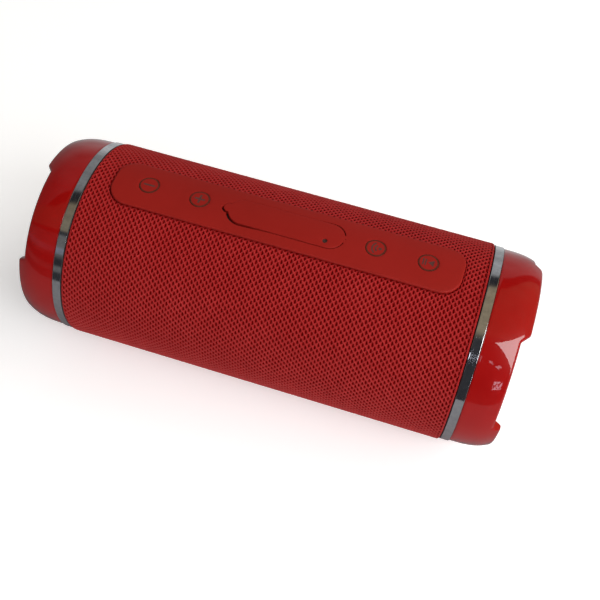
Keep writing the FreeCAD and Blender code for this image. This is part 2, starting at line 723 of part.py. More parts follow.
def bent_wire(points, radius, bend):
    """A round wire along straight runs joined by tangent arcs."""
    edges = []
    start = points[0]
    for before, corner, after in zip(points, points[1:], points[2:]):
        into = (corner - before).normalize()
        out = (after - corner).normalize()
        turn = into.getAngle(out)
        setback = bend * math.tan(turn / 2)
        first = corner - into * setback
        last = corner + out * setback
        inward = (out - into).normalize()
        centre_distance = bend / math.cos(turn / 2)
        middle = corner + inward * (centre_distance - bend)
        edges.append(Part.LineSegment(start, first).toShape())
        edges.append(Part.Arc(first, middle, last).toShape())
        start = last
    edges.append(Part.LineSegment(start, points[-1]).toShape())
    path = Part.Wire(edges)
    heading = points[1] - points[0]
    section = Part.Wire(Part.makeCircle(radius, points[0], heading))
    return path.makePipeShell([section], True, False)


def battery_leads():
    """Two insulated wires from the cell's end up to the board."""
    leads = []
    board = BOARD_TOP - BOARD_THICKNESS - 0.05
    start = BATTERY_HALF + 1.0
    for number, z in enumerate((BATTERY_Z - 1.2, BATTERY_Z + 1.2)):
        x = start + 6.6 - 2.4 * number
        points = [Vector(start, BATTERY_Y, z), Vector(x, BATTERY_Y, z), Vector(x, BATTERY_Y, 12.0),
                  Vector(x, 8.2, 22.0), Vector(x, 8.2, board)]
        leads.append(bent_wire(points, 0.65, 1.9))
    return leads


def driver_leads():
    """A pair of wires from each basket up to the board."""
    leads = []
    board = BOARD_TOP - BOARD_THICKNESS - 0.05
    for side in (-1, 1):
        for offset in (-1.0, 1.0):
            x = side * (DRIVER_X + 1.0) + offset
            points = [Vector(x, -12.0, 17.0), Vector(x, -12.0, 21.0),
                      Vector(x, -7.5, 24.5), Vector(x, -7.5, board)]
            leads.append(bent_wire(points, 0.5, 1.6))
    return leads


def save_group(name, solids):
    save(name, Part.makeCompound(solids))


def main():
    os.makedirs("parts", exist_ok=True)

    save("end_cap_right", end_cap(RIGHT_NOTCH_START))
    save("end_cap_left", mirrored(end_cap(LEFT_NOTCH_START)))
    for side, place in (("right", lambda shape: shape), ("left", mirrored)):
        save("trim_ring_" + side, place(trim_ring()))
        save("radiator_frame_" + side, place(radiator_frame()))
        save("radiator_surround_" + side, place(radiator_surround()))
        save("radiator_plate_" + side, place(radiator_plate()))
    right_screws = radiator_screws()
    save_group("radiator_screws", right_screws + [mirrored(screw) for screw in right_screws])

    save("fabric_sleeve", fabric_sleeve())
    save("front_shell", front_shell())
    save("rear_cover", rear_cover())
    save_group("rear_cover_screws", rear_cover_screws())
    save("base_foot", base_foot())

    save("control_panel", control_panel())
    for name, x in KEY_CENTRES.items():
        save("key_" + name, key_pad(x))
        save("plunger_" + name, switch_plunger(x))
    save("port_cover", port_cover())
    save("port_tray", port_tray())
    save("aux_jack", aux_jack())
    save("charge_socket", charge_socket())
    save("card_slot", card_slot())
    save("microphone", microphone())

    save("main_board", main_board())
    save_group("board_screws", board_screws())
    save_group("board_chips", board_chips())
    save("port_board", port_board())
    save_group("board_spacers", board_spacers())
    save_group("switch_bodies", switch_bodies())
    save("battery_cell", battery_cell())
    save("battery_cradle", battery_cradle())
    save_group("battery_leads", battery_leads())

    for side, x in (("left", -DRIVER_X), ("right", DRIVER_X)):
        save("driver_basket_" + side, driver_basket(x))
        save("driver_magnet_" + side, driver_magnet(x))
        save_group("driver_poles_" + side, driver_poles(x))
        save("driver_spider_" + side, driver_spider(x))
        save("driver_surround_" + side, driver_surround(x))
        save("driver_cone_" + side, driver_cone(x))
        save("driver_dust_cap_" + side, driver_dust_cap(x))
        save("driver_coil_" + side, driver_coil(x))
    save_group("driver_screws", driver_screws())
    save_group("driver_leads", driver_leads())


main()
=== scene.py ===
import json
import math

import bmesh
import bpy
import numpy as np
from mathutils import Matrix, Vector
from mathutils.geometry import delaunay_2d_cdt


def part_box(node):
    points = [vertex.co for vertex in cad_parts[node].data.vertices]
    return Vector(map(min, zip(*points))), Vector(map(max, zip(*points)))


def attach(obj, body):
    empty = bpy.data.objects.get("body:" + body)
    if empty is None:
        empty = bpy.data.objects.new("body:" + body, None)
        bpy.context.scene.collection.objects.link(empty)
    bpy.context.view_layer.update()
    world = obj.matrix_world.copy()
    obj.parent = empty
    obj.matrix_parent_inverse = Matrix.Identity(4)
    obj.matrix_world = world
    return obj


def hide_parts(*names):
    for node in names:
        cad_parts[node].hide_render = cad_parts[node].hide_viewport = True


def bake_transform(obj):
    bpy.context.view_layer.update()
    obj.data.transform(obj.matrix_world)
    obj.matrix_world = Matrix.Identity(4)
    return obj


# Portable wireless speaker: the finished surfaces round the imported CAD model.
# Lengths are in millimetres about the body's own axis: x along it, y to the back, z up.
# Angles round the body are in degrees from the crown towards the front.

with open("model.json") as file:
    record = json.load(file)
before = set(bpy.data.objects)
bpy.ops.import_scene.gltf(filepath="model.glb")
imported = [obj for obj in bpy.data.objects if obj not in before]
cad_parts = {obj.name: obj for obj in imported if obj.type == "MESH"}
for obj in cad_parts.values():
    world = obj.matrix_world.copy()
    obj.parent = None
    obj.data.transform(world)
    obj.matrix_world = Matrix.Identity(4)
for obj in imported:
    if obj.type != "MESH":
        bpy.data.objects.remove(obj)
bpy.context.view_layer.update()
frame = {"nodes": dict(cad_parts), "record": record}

MM = 0.001
MERGE = 2e-6


# ---- sizes read from the frame

ring_low, ring_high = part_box("trim_ring_right")
LIFT = (ring_low.z + ring_high.z) / 2


def cad_box(node):
    """Lowest and highest corner of a CAD node, in millimetres about the body's axis."""
    low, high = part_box(node)
    up = Vector((0, 0, LIFT))
    return (low - up) / MM, (high - up) / MM


RING_START = ring_low.x / MM
RING_END = ring_high.x / MM
RING_RADIUS = (ring_high.z - ring_low.z) / 2 / MM
CAP_LOW, CAP_HIGH = cad_box("end_cap_right")
CAP_SPIGOT = CAP_LOW.x
HALF_LENGTH = CAP_HIGH.x
CAP_RADIUS = CAP_HIGH.z
FABRIC_LOW = cad_box("fabric_sleeve")[0]
FABRIC_HALF = -FABRIC_LOW.x
FABRIC_RADIUS = -FABRIC_LOW.y
PANEL_HIGH = cad_box("control_panel")[1]
PANEL_HALF_LENGTH = PANEL_HIGH.x
PANEL_HALF_WIDTH = PANEL_HIGH.y
PANEL_RADIUS = PANEL_HIGH.z
PANEL_SEAT = cad_box("front_shell")[1].z
COVER_LOW, COVER_HIGH = cad_box("port_cover")
FOOT_LOW, FOOT_HIGH = cad_box("base_foot")
PLATE_LOW, PLATE_HIGH = cad_box("radiator_plate_right")
ROLL_LOW, ROLL_HIGH = cad_box("radiator_surround_right")
KEYS = ("minus", "plus", "wireless", "play")

# Sizes that the boxes don't show
CAP_START = 78.0
CAP_TIP_RADIUS = 34.6
CAP_CURVE = 3.2
CAP_MOUTH_RADIUS = 32.4
CAP_THROAT_RADIUS = 30.2
CAP_FLOOR = 80.5
RIM_ROUND = 0.9
NOTCH_DEPTH = 2.8
NOTCH_STEP = 120.0
NOTCH_SPAN = 56.5
NOTCH_LEAD_IN = 5.5
NOTCH_LEAD_OUT = 2.5
NOTCH_STARTS = {"right": 28.0, "left": 5.0}
PANEL_CORNER = 7.0
PANEL_LIP = 2.2
PANEL_LIP_UNDERSIDE = 38.6
KEY_GAP = 0.12
COVER_CENTRE = 0.25
COVER_HALF_LENGTH = 21.75
COVER_HALF_WIDTH = 5.7
COVER_UNDERSIDE = 37.9
COVER_TAB_HALF = 2.0
COVER_GAP = 0.3
TIGHT_START = -24.0
TIGHT_END = 18.0
TIGHT_FADES = (2.0, 4.0, 2.0)
MIC_X = 15.5
MIC_Y = -3.0
MIC_RADIUS = 0.9
FOOT_CORNER = 6.0
SIDES = {"right": 1, "left": -1}

# The knit
KNIT_ROWS = 204
KNIT_HALF_COLUMNS = 69
KNIT_OVERHANG = 0.35
KNIT_END = FABRIC_HALF + KNIT_OVERHANG
KNIT_PITCH = 2 * KNIT_END / KNIT_HALF_COLUMNS
KNIT_ROW = 2 * math.pi * FABRIC_RADIUS / KNIT_ROWS
KNIT_HOLE_X = 0.23
KNIT_HOLE_Y = 0.76
KNIT_DEPTH = 0.42
KNIT_KNOT = 0.05
KNIT_TUCK = 0.7
KNIT_FILAMENT = 0.22
KNIT_SEED = 7


# ---- outlines in plan

CORNER_STEPS = 10
SIDE_STEPS = 6
TIP_STEPS = 12
TAB_STEPS = 8
COVER_SIDE_STEPS = 30
SIDE_MARGIN_BY = 0.15
LEFT_MARGIN_FROM = 0.6

SNUG = {"side": 0.0, "left": 0.0, "tab": 0.0, "right": 0.0}
NEST_UPPER = {"side": 0.07, "left": 0.07, "tab": 0.15, "right": 0.34}
NEST_LOWER = {"side": 0.34, "left": 0.9, "tab": 0.7, "right": 0.34}


def circle_outline(x, y, radius, count):
    turns = [2 * math.pi * n / count for n in range(count)]
    return [(x + radius * math.cos(t), y + radius * math.sin(t)) for t in turns]


def arc_points(x, y, radius, start, end, count):
    turns = [math.radians(start + (end - start) * n / count) for n in range(count + 1)]
    return [(x + radius * math.cos(t), y + radius * math.sin(t)) for t in turns]


def quarter(steps):
    """(sine, cosine) at each step of a quarter turn but its start."""
    turns = [math.pi / 2 * n / steps for n in range(1, steps + 1)]
    return [(math.sin(t), math.cos(t)) for t in turns]


def rounded_outline(x0, x1, half_width, corner):
    """(x, y) points round a rectangle with round corners, always as many and in the same order."""
    right, left = x1 - corner, x0 + corner
    top, bottom = half_width - corner, corner - half_width
    centres = ((right, top), (left, top), (left, bottom), (right, bottom))
    corners = [arc_points(*centre, corner, 90 * n, 90 * n + 90, CORNER_STEPS)
               for n, centre in enumerate(centres)]
    points = []
    for this, after in zip(corners, corners[1:] + corners[:1]):
        start, end = np.array(this[-1]), np.array(after[0])
        points += this
        points += [tuple(start + (end - start) * n / SIDE_STEPS) for n in range(1, SIDE_STEPS)]
    return points


def ease(share):
    share = min(max(share, 0.0), 1.0)
    return share * share * (3 - 2 * share)


def cover_half(margins):
    """Points along one long side of the cover, from its right tip to the end of its finger tab."""
    centre = COVER_HALF_LENGTH - COVER_HALF_WIDTH
    right_x, left_x = COVER_CENTRE + centre, COVER_CENTRE - centre
    left_width = COVER_HALF_WIDTH + margins["left"]
    tab = COVER_TAB_HALF + margins["tab"]
    meet = math.degrees(math.asin(tab / left_width))
    points = arc_points(right_x, 0, COVER_HALF_WIDTH + margins["right"], 0, 90, TIP_STEPS)
    for step in range(1, COVER_SIDE_STEPS):
        share = step / COVER_SIDE_STEPS
        margin = margins["right"] + (margins["side"] - margins["right"]) * ease(share / SIDE_MARGIN_BY)
        margin += (margins["left"] - margin) * ease((share - LEFT_MARGIN_FROM) / (1 - LEFT_MARGIN_FROM))
        points.append((right_x + (left_x - right_x) * share, COVER_HALF_WIDTH + margin))
    points += arc_points(left_x, 0, left_width, 90, 180 - meet, TIP_STEPS)
    return points + arc_points(COVER_LOW.x + COVER_TAB_HALF, 0, tab, 90, 180, TAB_STEPS)


def cover_outline(upper=SNUG, lower=SNUG):
    """The port cover's pill with a finger tab at its left tip, grown by each half's margins."""
    below = [(x, -y) for x, y in reversed(cover_half(lower)[1:-1])]
    return cover_half(upper) + below


def seam_softness(points, least, most):
    """Edge rounding along the cover's seam, which is crisp on its long upper side."""
    left, right, below = TIGHT_FADES
    crisp = [ease((x - TIGHT_START) / left) * ease((TIGHT_END - x) / right) * ease(y / below)
             for x, y in points]
    return most - (most - least) * np.array(crisp)


def grown(points, amount):
    """A plan outline with each point moved outwards along its own normal."""
    loop = np.array(points)
    tangent = np.roll(loop, -1, axis=0) - np.roll(loop, 1, axis=0)
    tangent /= np.maximum(np.linalg.norm(tangent, axis=1), 1e-9)[:, None]
    normal = np.stack([tangent[:, 1], -tangent[:, 0]], axis=1)
    return [tuple(p) for p in loop + normal * np.reshape(amount, (-1, 1))]


def inside(points, loop):
    """Which of the plan points lie inside a closed outline."""
    x, y = np.asarray(points, float).T
    result = np.zeros(len(x), bool)
    for (x0, y0), (x1, y1) in zip(loop, [*loop[1:], loop[0]]):
        if y0 != y1:
            crosses = (y > min(y0, y1)) & (y <= max(y0, y1))
            result ^= crosses & (x < x0 + (y - y0) * (x1 - x0) / (y1 - y0))
    return result


def on_radius(radius):
    """Height of a plan point on a cylinder about the body's axis."""
    return lambda x, y: math.sqrt(radius * radius - y * y)


def at_height(z):
    return lambda x, y: z


def placed(outline, height):
    return [(x, y, height(x, y)) for x, y in outline]


def plan_of(loop):
    return [(x, y) for x, y, _ in loop]


# ---- pieces

EDGE_CLEARANCE = 0.45
SHORTEST_EDGE = 1e-5
SAME_POINT = 1e-6


class Shape:
    """Collects the walls and plates of one piece. A face's paint is the number of its material."""

    def __init__(self):
        self.vertices = []
        self.faces = []
        self.paints = []

    def add(self, vertices, faces, paints=0):
        """Takes faces in, with one paint for all or one for each."""
        first = len(self.vertices)
        self.vertices += [tuple(v) for v in vertices]
        self.faces += [tuple(first + n for n in face) for face in faces]
        self.paints += np.broadcast_to(paints, len(faces)).tolist()

    def wall(self, loops, paint=0):
        """A skin through closed loops that have the same number of points."""
        self.add(np.concatenate(loops), grid_faces(len(loops), len(loops[0]), False, True), paint)

    def plate(self, outline, holes, height, marks=(), spacing=1.5, paint=0):
        """A triangulated skin inside an outline, round its holes. marks are (outline, paint) areas."""
        points, edges = [], []
        for loop in [outline, *holes, *[mark for mark, _ in marks]]:
            kept = [p for p, q in zip(loop, loop[1:] + loop[:1]) if math.dist(p, q) > SHORTEST_EDGE]
            first = len(points)
            points += kept
            edges += [(first + n, first + (n + 1) % len(kept)) for n in range(len(kept))]

        def covered(places):
            keep = inside(places, outline)
            for hole in holes:
                keep &= ~inside(places, hole)
            return keep

        low, high = np.min(outline, axis=0), np.max(outline, axis=0)
        xs = np.arange(low[0] + spacing / 2, high[0], spacing)
        ys = np.arange(low[1] + spacing / 2, high[1], spacing)
        grid = np.stack(np.meshgrid(xs, ys), axis=-1).reshape(-1, 2)
        grid = grid[covered(grid)]
        edge_points = np.array(points)
        far = [np.min(np.hypot(*(edge_points - g).T)) > spacing * EDGE_CLEARANCE for g in grid]
        points += [tuple(g) for g, clear in zip(grid, far) if clear]
        flat, _, faces, *_ = delaunay_2d_cdt([Vector(p) for p in points], edges, [], 0, SAME_POINT)
        flat = [(p.x, p.y) for p in flat]
        centres = np.array([np.mean([flat[n] for n in face], axis=0) for face in faces])
        keep = covered(centres)
        paints = np.full(len(faces), paint)
        for mark, mark_paint in marks:
            paints[inside(centres, mark)] = mark_paint
        self.add(placed(flat, height), [face for face, kept in zip(faces, keep) if kept], paints[keep])


def grid_faces(rows, columns, wrap_rows, wrap_columns):
    """Quads between the points of a grid that is stored row by row."""
    number = np.arange(rows * columns).reshape(rows, columns)
    number = np.pad(number, ((0, int(wrap_rows)), (0, int(wrap_columns))), mode="wrap")
    corners = [number[:-1, :-1], number[:-1, 1:], number[1:, 1:], number[1:, :-1]]
    return np.stack(corners, axis=-1).reshape(-1, 4).tolist()


def turned(profile, segments, closed=True):
    """(vertices, faces) of an (x, radius) profile turned about the body's axis."""
    vertices = []
    for segment in range(segments):
        angle = 2 * math.pi * segment / segments
        vertices += [(x, -r * math.sin(angle), r * math.cos(angle)) for x, r in profile]
    return vertices, grid_faces(segments, len(profile), True, closed)


def turned_shape(profile, segments, sign):
    """A Shape of a closed (x, radius) profile, turned about the axis. Sign -1 mirrors it in x."""
    shape = Shape()
    shape.add(*turned([(sign * x, r) for x, r in profile], segments))
    return shape


def link(name, data):
    made = bpy.data.objects.new(name, data)
    bpy.context.scene.collection.objects.link(made)
    return made


def cleaned(mesh):
    """Welds the mesh, drops what is loose or has no area, and turns its faces outwards."""
    work = bmesh.new()
    work.from_mesh(mesh)
    bmesh.ops.remove_doubles(work, verts=work.verts, dist=MERGE)
    bmesh.ops.dissolve_degenerate(work, dist=MERGE, edges=work.edges)
    bmesh.ops.delete(work, geom=[v for v in work.verts if not v.link_faces], context="VERTS")
    bmesh.ops.recalc_face_normals(work, faces=work.faces)
    work.to_mesh(mesh)
    work.free()


def make_piece(name, shape, body, slot, replaced=(), sharp=60, clean=True, extra=()):
    """Turns a Shape into an object on a body. Its materials are its slot's and then the extra ones."""
    points = np.array(shape.vertices, float) * MM
    points[:, 2] += LIFT
    mesh = bpy.data.meshes.new(name)
    mesh.from_pydata(points.tolist(), [], shape.faces)
    mesh.polygons.foreach_set("material_index", shape.paints)
    for finish in (slot, *extra):
        mesh.materials.append(FINISHES[finish].material)
    if clean:
        cleaned(mesh)
    mesh.shade_smooth()
    mesh.set_sharp_from_angle(angle=math.radians(sharp))
    piece = link(name, mesh)
    if body:
        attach(piece, body)
    if replaced:
        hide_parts(*replaced)
    return piece


# ---- materials

class Nodes:
    """A node tree and short ways to add to it."""

    def __init__(self, tree, coordinates):
        self.tree = tree
        self.where = self.node("TexCoord").outputs[coordinates]

    def node(self, kind, **settings):
        made = self.tree.nodes.new("ShaderNode" + kind)
        for key, value in settings.items():
            setattr(made, key, value)
        return made

    def feed(self, socket, value):
        """Gives a socket a constant or another node's output."""
        if isinstance(value, bpy.types.NodeSocket):
            self.tree.links.new(value, socket)
        else:
            socket.default_value = value

    def fill(self, made, *values, **named):
        """Feeds a node's sockets, in order or by name, and gives its first output."""
        for key, value in [*enumerate(values), *named.items()]:
            self.feed(made.inputs[key], value)
        return made.outputs[0]

    def maths(self, operation, *values, clamp=False):
        return self.fill(self.node("Math", operation=operation, use_clamp=clamp), *values)

    def combined(self, *values):
        return self.fill(self.node("CombineXYZ"), *values)

    def split(self, vector):
        made = self.node("SeparateXYZ")
        self.fill(made, vector)
        return made.outputs

    def noise(self, scale, detail=3.0, roughness=0.55, vector=None):
        return self.fill(self.node("TexNoise"), Scale=scale, Detail=detail, Roughness=roughness,
                         Vector=vector or self.where)

    def ramp(self, value, *stops):
        """A colour or grey for each (place, colour) stop."""
        made = self.node("ValToRGB")
        elements = made.color_ramp.elements
        while len(elements) < len(stops):
            elements.new(0.5)
        for element, (place, colour) in zip(elements, stops):
            element.position = place
            grey = isinstance(colour, (int, float))
            element.color = (colour, colour, colour, 1) if grey else (*colour, 1)
        return self.fill(made, value)


class Finish(Nodes):
    """A material with its shader and a few ways to texture it."""

    def __init__(self, name, roughness, **sockets):
        self.material = bpy.data.materials.new(name)
        self.material.use_nodes = True
        super().__init__(self.material.node_tree, "Object")
        self.shader = self.tree.nodes["Principled BSDF"]
        self.relief = None
        for socket, value in {"Roughness": roughness, **sockets}.items():
            self.shader.inputs[socket.replace("_", " ")].default_value = value

    def around(self):
        """(all three as a vector, x, length round the body, radius) of a surface point, in metres."""
        x, y, z = self.split(self.where)
        up = self.maths("SUBTRACT", z, LIFT)
        squares = [self.maths("MULTIPLY", value, value) for value in (y, up)]
        radius = self.maths("SQRT", self.maths("ADD", *squares))
        arc = self.maths("MULTIPLY", self.maths("ARCTAN2", y, up), FABRIC_RADIUS * MM)
        return self.combined(x, arc, radius), x, arc, radius

    def stretched(self, vector, scale):
        return self.fill(self.node("Mapping"), Scale=scale, Vector=vector)

    def colour(self, value, *stops):
        self.feed(self.shader.inputs["Base Color"], self.ramp(value, *stops))
        return self

    def roughness(self, value, *stops):
        self.feed(self.shader.inputs["Roughness"], self.ramp(value, *stops))
        return self

    def bump(self, value, depth, strength=1.0):
        """Adds relief. depth is in millimetres."""
        below = {} if self.relief is None else {"Normal": self.relief}
        self.relief = self.fill(self.node("Bump"), Strength=strength, Distance=depth * MM, Height=value,
                                **below)
        self.feed(self.shader.inputs["Normal"], self.relief)
        return self


def gloss_red():
    """Deep glossy moulding under a clear coat, with a faint orange peel and hairline wear."""
    finish = Finish("cap_gloss", 0.28, Coat_Weight=1.0, Coat_Roughness=0.025, Specular_IOR_Level=0.08)
    finish.colour(finish.noise(45, 4), (0.3, (0.30, 0.0024, 0.0018)), (0.7, (0.34, 0.0030, 0.0022)))
    scratches = finish.noise(500, 2, 0.6, finish.stretched(finish.around()[0], (9, 0.7, 1)))
    finish.roughness(scratches, (0.42, 0.285), (0.72, 0.305))
    return finish.bump(finish.noise(260, 2), 0.008, 0.5)


def chrome():
    """Bright plating with faint lines along its turning direction and a few dull specks."""
    finish = Finish("trim_chrome", 0.07, Metallic=1.0)
    lines = finish.noise(900, 2, 0.6, finish.stretched(finish.around()[0], (6, 0.25, 1)))
    finish.colour(finish.noise(700, 3), (0.3, (0.66, 0.67, 0.69)), (0.6, (0.78, 0.79, 0.8)))
    finish.roughness(lines, (0.35, 0.05), (0.7, 0.13))
    return finish.bump(lines, 0.004, 0.3)


def knit_thread():
    """Polyester strands: fine filaments along both diagonals, with painted shade that darkens them down
    towards the holes.
    """
    finish = Finish("fabric_knit", 0.75, Sheen_Weight=0.04, Sheen_Roughness=0.5, Specular_IOR_Level=0.15)
    _, x, arc, radius = finish.around()
    across = finish.maths("MULTIPLY", arc, KNIT_PITCH / KNIT_ROW / 2)
    waves = []
    for sign in ("ADD", "SUBTRACT"):
        turns = finish.maths("MULTIPLY", finish.maths(sign, x, across), 2 * math.pi / (KNIT_FILAMENT * MM))
        waves.append(finish.maths("SINE", turns))
    filaments = finish.maths("MULTIPLY_ADD", finish.maths("MAXIMUM", *waves), 0.5, 0.5)
    fuzz = finish.noise(2600, 3, 0.65)
    # Painted shade: the colour darkens with depth below the strands' tops, down into the holes, on top of
    # random fuzz and blotches.
    low = (FABRIC_RADIUS - KNIT_DEPTH) * MM
    mixed = finish.maths("DIVIDE", finish.maths("SUBTRACT", radius, low), (KNIT_DEPTH + KNIT_KNOT) * MM)
    for noise, amount in ((fuzz, 0.35), (finish.noise(60, 3), 0.3)):
        mixed = finish.maths("MULTIPLY_ADD", finish.maths("SUBTRACT", noise, 0.5), amount, mixed)
    finish.colour(mixed, (0.0, (0.25, 0.003, 0.003)), (0.5, (0.36, 0.012, 0.012)),
                  (0.85, (0.45, 0.026, 0.025)), (1.0, (0.50, 0.038, 0.036)))
    finish.bump(filaments, 0.05, 0.55)
    return finish.bump(fuzz, 0.05, 0.4)


def knit_lining():
    """Deep red backing cloth that shows through the holes."""
    finish = Finish("fabric_lining", 0.95, Specular_IOR_Level=0.0)
    weave = finish.noise(1500, 2)
    finish.colour(weave, (0.3, (0.22, 0.0006, 0.0006)), (0.7, (0.31, 0.0012, 0.0012)))
    return finish.bump(weave, 0.1, 0.5)


def silicone():
    """Matte moulded silicone with a spark-eroded texture and slight blotches."""
    finish = Finish("panel_silicone", 0.55, Specular_IOR_Level=0.18)
    finish.colour(finish.noise(35, 4), (0.3, (0.280, 0.011, 0.007)), (0.7, (0.318, 0.013, 0.009)))
    finish.roughness(finish.noise(90, 3), (0.3, 0.48), (0.7, 0.62))
    return finish.bump(finish.noise(2400, 2, 0.7), 0.02, 0.35)


def ink(name, dark, light):
    """Pad-printed ink, a little uneven where it is thin."""
    finish = Finish(name, 0.5, Specular_IOR_Level=0.15)
    finish.colour(finish.noise(1400, 3), (0.3, dark), (0.7, light))
    return finish.bump(finish.noise(2400, 2), 0.015, 0.3)


def rubber(name, dark, light, grain=1800):
    finish = Finish(name, 0.7, Specular_IOR_Level=0.35)
    finish.colour(finish.noise(80, 4), (0.3, dark), (0.7, light))
    finish.roughness(finish.noise(240, 3), (0.3, 0.6), (0.7, 0.82))
    return finish.bump(finish.noise(grain, 2), 0.03, 0.4)


def spun_metal():
    """Aluminium turned on a lathe: rings of fine grooves about the body's axis."""
    finish = Finish("radiator_metal", 0.28, Metallic=1.0, Anisotropic=0.5)
    from_axis = finish.combined(finish.around()[3])
    grooves = finish.noise(1.0, 4, 0.7, finish.stretched(from_axis, (9000, 0, 0)))
    finish.colour(finish.noise(60, 3), (0.3, (0.50, 0.51, 0.53)), (0.7, (0.62, 0.63, 0.65)))
    finish.roughness(grooves, (0.3, 0.2), (0.7, 0.38))
    return finish.bump(grooves, 0.01, 0.5)


def moulded(name, dark, light, rough, grain, depth, **sockets):
    """Any other moulded, painted or plated part."""
    finish = Finish(name, rough, **sockets)
    finish.colour(finish.noise(120, 4), (0.3, dark), (0.7, light))
    finish.roughness(finish.noise(300, 3), (0.3, rough * 0.8), (0.7, min(1.0, rough * 1.25)))
    return finish.bump(finish.noise(grain, 2), depth, 0.35)


FINISHES = {
    "cap_gloss": gloss_red(),
    "trim_chrome": chrome(),
    "fabric_red": knit_thread(),
    "lining": knit_lining(),
    "panel_silicone": silicone(),
    "foot_rubber": rubber("foot_rubber", (0.022, 0.021, 0.021), (0.038, 0.036, 0.036)),
    "radiator_rubber": rubber("radiator_rubber", (0.014, 0.014, 0.014), (0.024, 0.024, 0.024), 2600),
    "radiator_metal": spun_metal(),
    "ink_ring": ink("ink_ring", (0.080, 0.016, 0.009), (0.120, 0.026, 0.016)),
    "ink_mark": ink("ink_mark", (0.080, 0.030, 0.026), (0.118, 0.046, 0.040)),
    "mic_mesh": ink("mic_mesh", (0.034, 0.018, 0.015), (0.075, 0.044, 0.038)),
    # Near-black dots for the microphone's pinholes: painted shade of holes that are not cut.
    "mic_pinhole_shade": rubber("pinhole_shadow", (0.03, 0.002, 0.002), (0.05, 0.003, 0.003)),
    # Dark grey on the trim rings' shoulder by the cloth: painted shade for the gap between ring and cloth.
    "ring_flank_shade": moulded("ring_flank_shade", (0.030, 0.029, 0.030), (0.055, 0.053, 0.055), 0.55, 1500, 0.02),
}

# Inner parts: roughness, scale of the grain and depth of the relief. Their colours are the record's.
PLAIN_SLOTS = {
    "shell_plastic": (0.55, 1500, 0.05),
    "steel": (0.32, 2200, 0.008),
    "brass": (0.3, 2200, 0.008),
    "basket_paint": (0.45, 900, 0.04),
    "ferrite": (0.75, 1600, 0.05),
    "cone_paper": (0.85, 1300, 0.08),
    "spider_cloth": (0.85, 2600, 0.12),
    "board_green": (0.35, 700, 0.02),
    "chip_black": (0.6, 2200, 0.02),
    "battery_wrap": (0.3, 400, 0.03),
    "wire_red": (0.5, 1200, 0.02),
}
BARE_METALS = ("steel", "brass")
UNEVENNESS = 0.15


def add_plain_finishes():
    colours = {row["slot"]: row["base_color"] for row in frame["record"]["materials"]}
    for slot, (rough, grain, depth) in PLAIN_SLOTS.items():
        dark = tuple(c * (1 - UNEVENNESS) for c in colours[slot])
        light = tuple(min(1.0, c * (1 + UNEVENNESS)) for c in colours[slot])
        metal = 1.0 if slot in BARE_METALS else 0.0
        FINISHES[slot] = moulded(slot, dark, light, rough, grain, depth, Metallic=metal)


def dress_cad_nodes():
    """Gives every CAD node the finish of its material slot."""
    for part in frame["record"]["subparts"]:
        node = frame["nodes"][part["node"]]
        node.data.materials.clear()
        node.data.materials.append(FINISHES[part["material_slot"]].material)


# ---- end caps and trim rings

CAP_EDGE = 0.35
CAP_EDGE_POINTS = ((0.0, 0.3), (0.1, 0.08))
CAP_ROWS = 22
CAP_ROW_CROWDING = 1.35
RIM_STEPS = 6
RIM_ROUND_MOST = 2.4
RIM_LIP = 0.5
MOUTH_STEPS = 8
THROAT_ROUND = 1.0
NECK_GAP = 1.05
NECK_BEVEL = 0.2
SPIGOT_INNER = 33.4
SPIGOT_OUTER = 34.8
NOTCH_FINENESS = 0.05
NOTCH_SMOOTHING = 1.3
NOTCH_FLAT_STRIDE = 30
NOTCH_STEEP_STRIDE = 4
NOTCH_LEAST_SLOPE = 1e-5
RING_INNER = 36.2
RING_SHOULDER = 0.22
RING_FAR_SHOULDER = 0.13
RING_FLAT = 0.15
RING_SEGMENTS = 288
SHOULDER_STEPS = 6


def cap_radius(x):
    """The end cap swells out of the ring and turns in towards its rim."""
    share = np.clip((x - CAP_START) / (HALF_LENGTH - CAP_START), 0, 1)
    return CAP_RADIUS - (CAP_RADIUS - CAP_TIP_RADIUS) * share ** CAP_CURVE


def mouth_radius(x):
    """The funnel inside the cap."""
    from_throat = x - CAP_FLOOR - THROAT_ROUND
    slope = (CAP_MOUTH_RADIUS - CAP_THROAT_RADIUS) / (HALF_LENGTH - CAP_FLOOR - THROAT_ROUND)
    return CAP_THROAT_RADIUS + from_throat * slope


def notch_share(start):
    """Angles, the notches' depth there from 0 to 1 with round corners, and its change per degree."""
    fine = np.arange(0, 360, NOTCH_FINENESS)
    phase = (fine - start) % NOTCH_STEP
    rise = np.clip((phase - NOTCH_STEP + NOTCH_LEAD_IN) / NOTCH_LEAD_IN, 0, 1)
    fall = 1 - np.clip((phase - NOTCH_SPAN) / NOTCH_LEAD_OUT, 0, 1)
    share = np.maximum(rise, fall)
    width = int(NOTCH_SMOOTHING / NOTCH_FINENESS)
    kernel = np.ones(width) / width
    for _ in range(2):
        wrapped = np.concatenate([share[-width:], share, share[:width]])
        share = np.convolve(wrapped, kernel, "same")[width:-width]
    steep = np.abs(np.gradient(share)) > NOTCH_LEAST_SLOPE
    wanted = np.zeros(len(fine), bool)
    wanted[::NOTCH_FLAT_STRIDE] = True
    wanted[::NOTCH_STEEP_STRIDE] |= steep[::NOTCH_STEEP_STRIDE]
    return fine[wanted], share[wanted], (np.gradient(share) / NOTCH_FINENESS)[wanted]


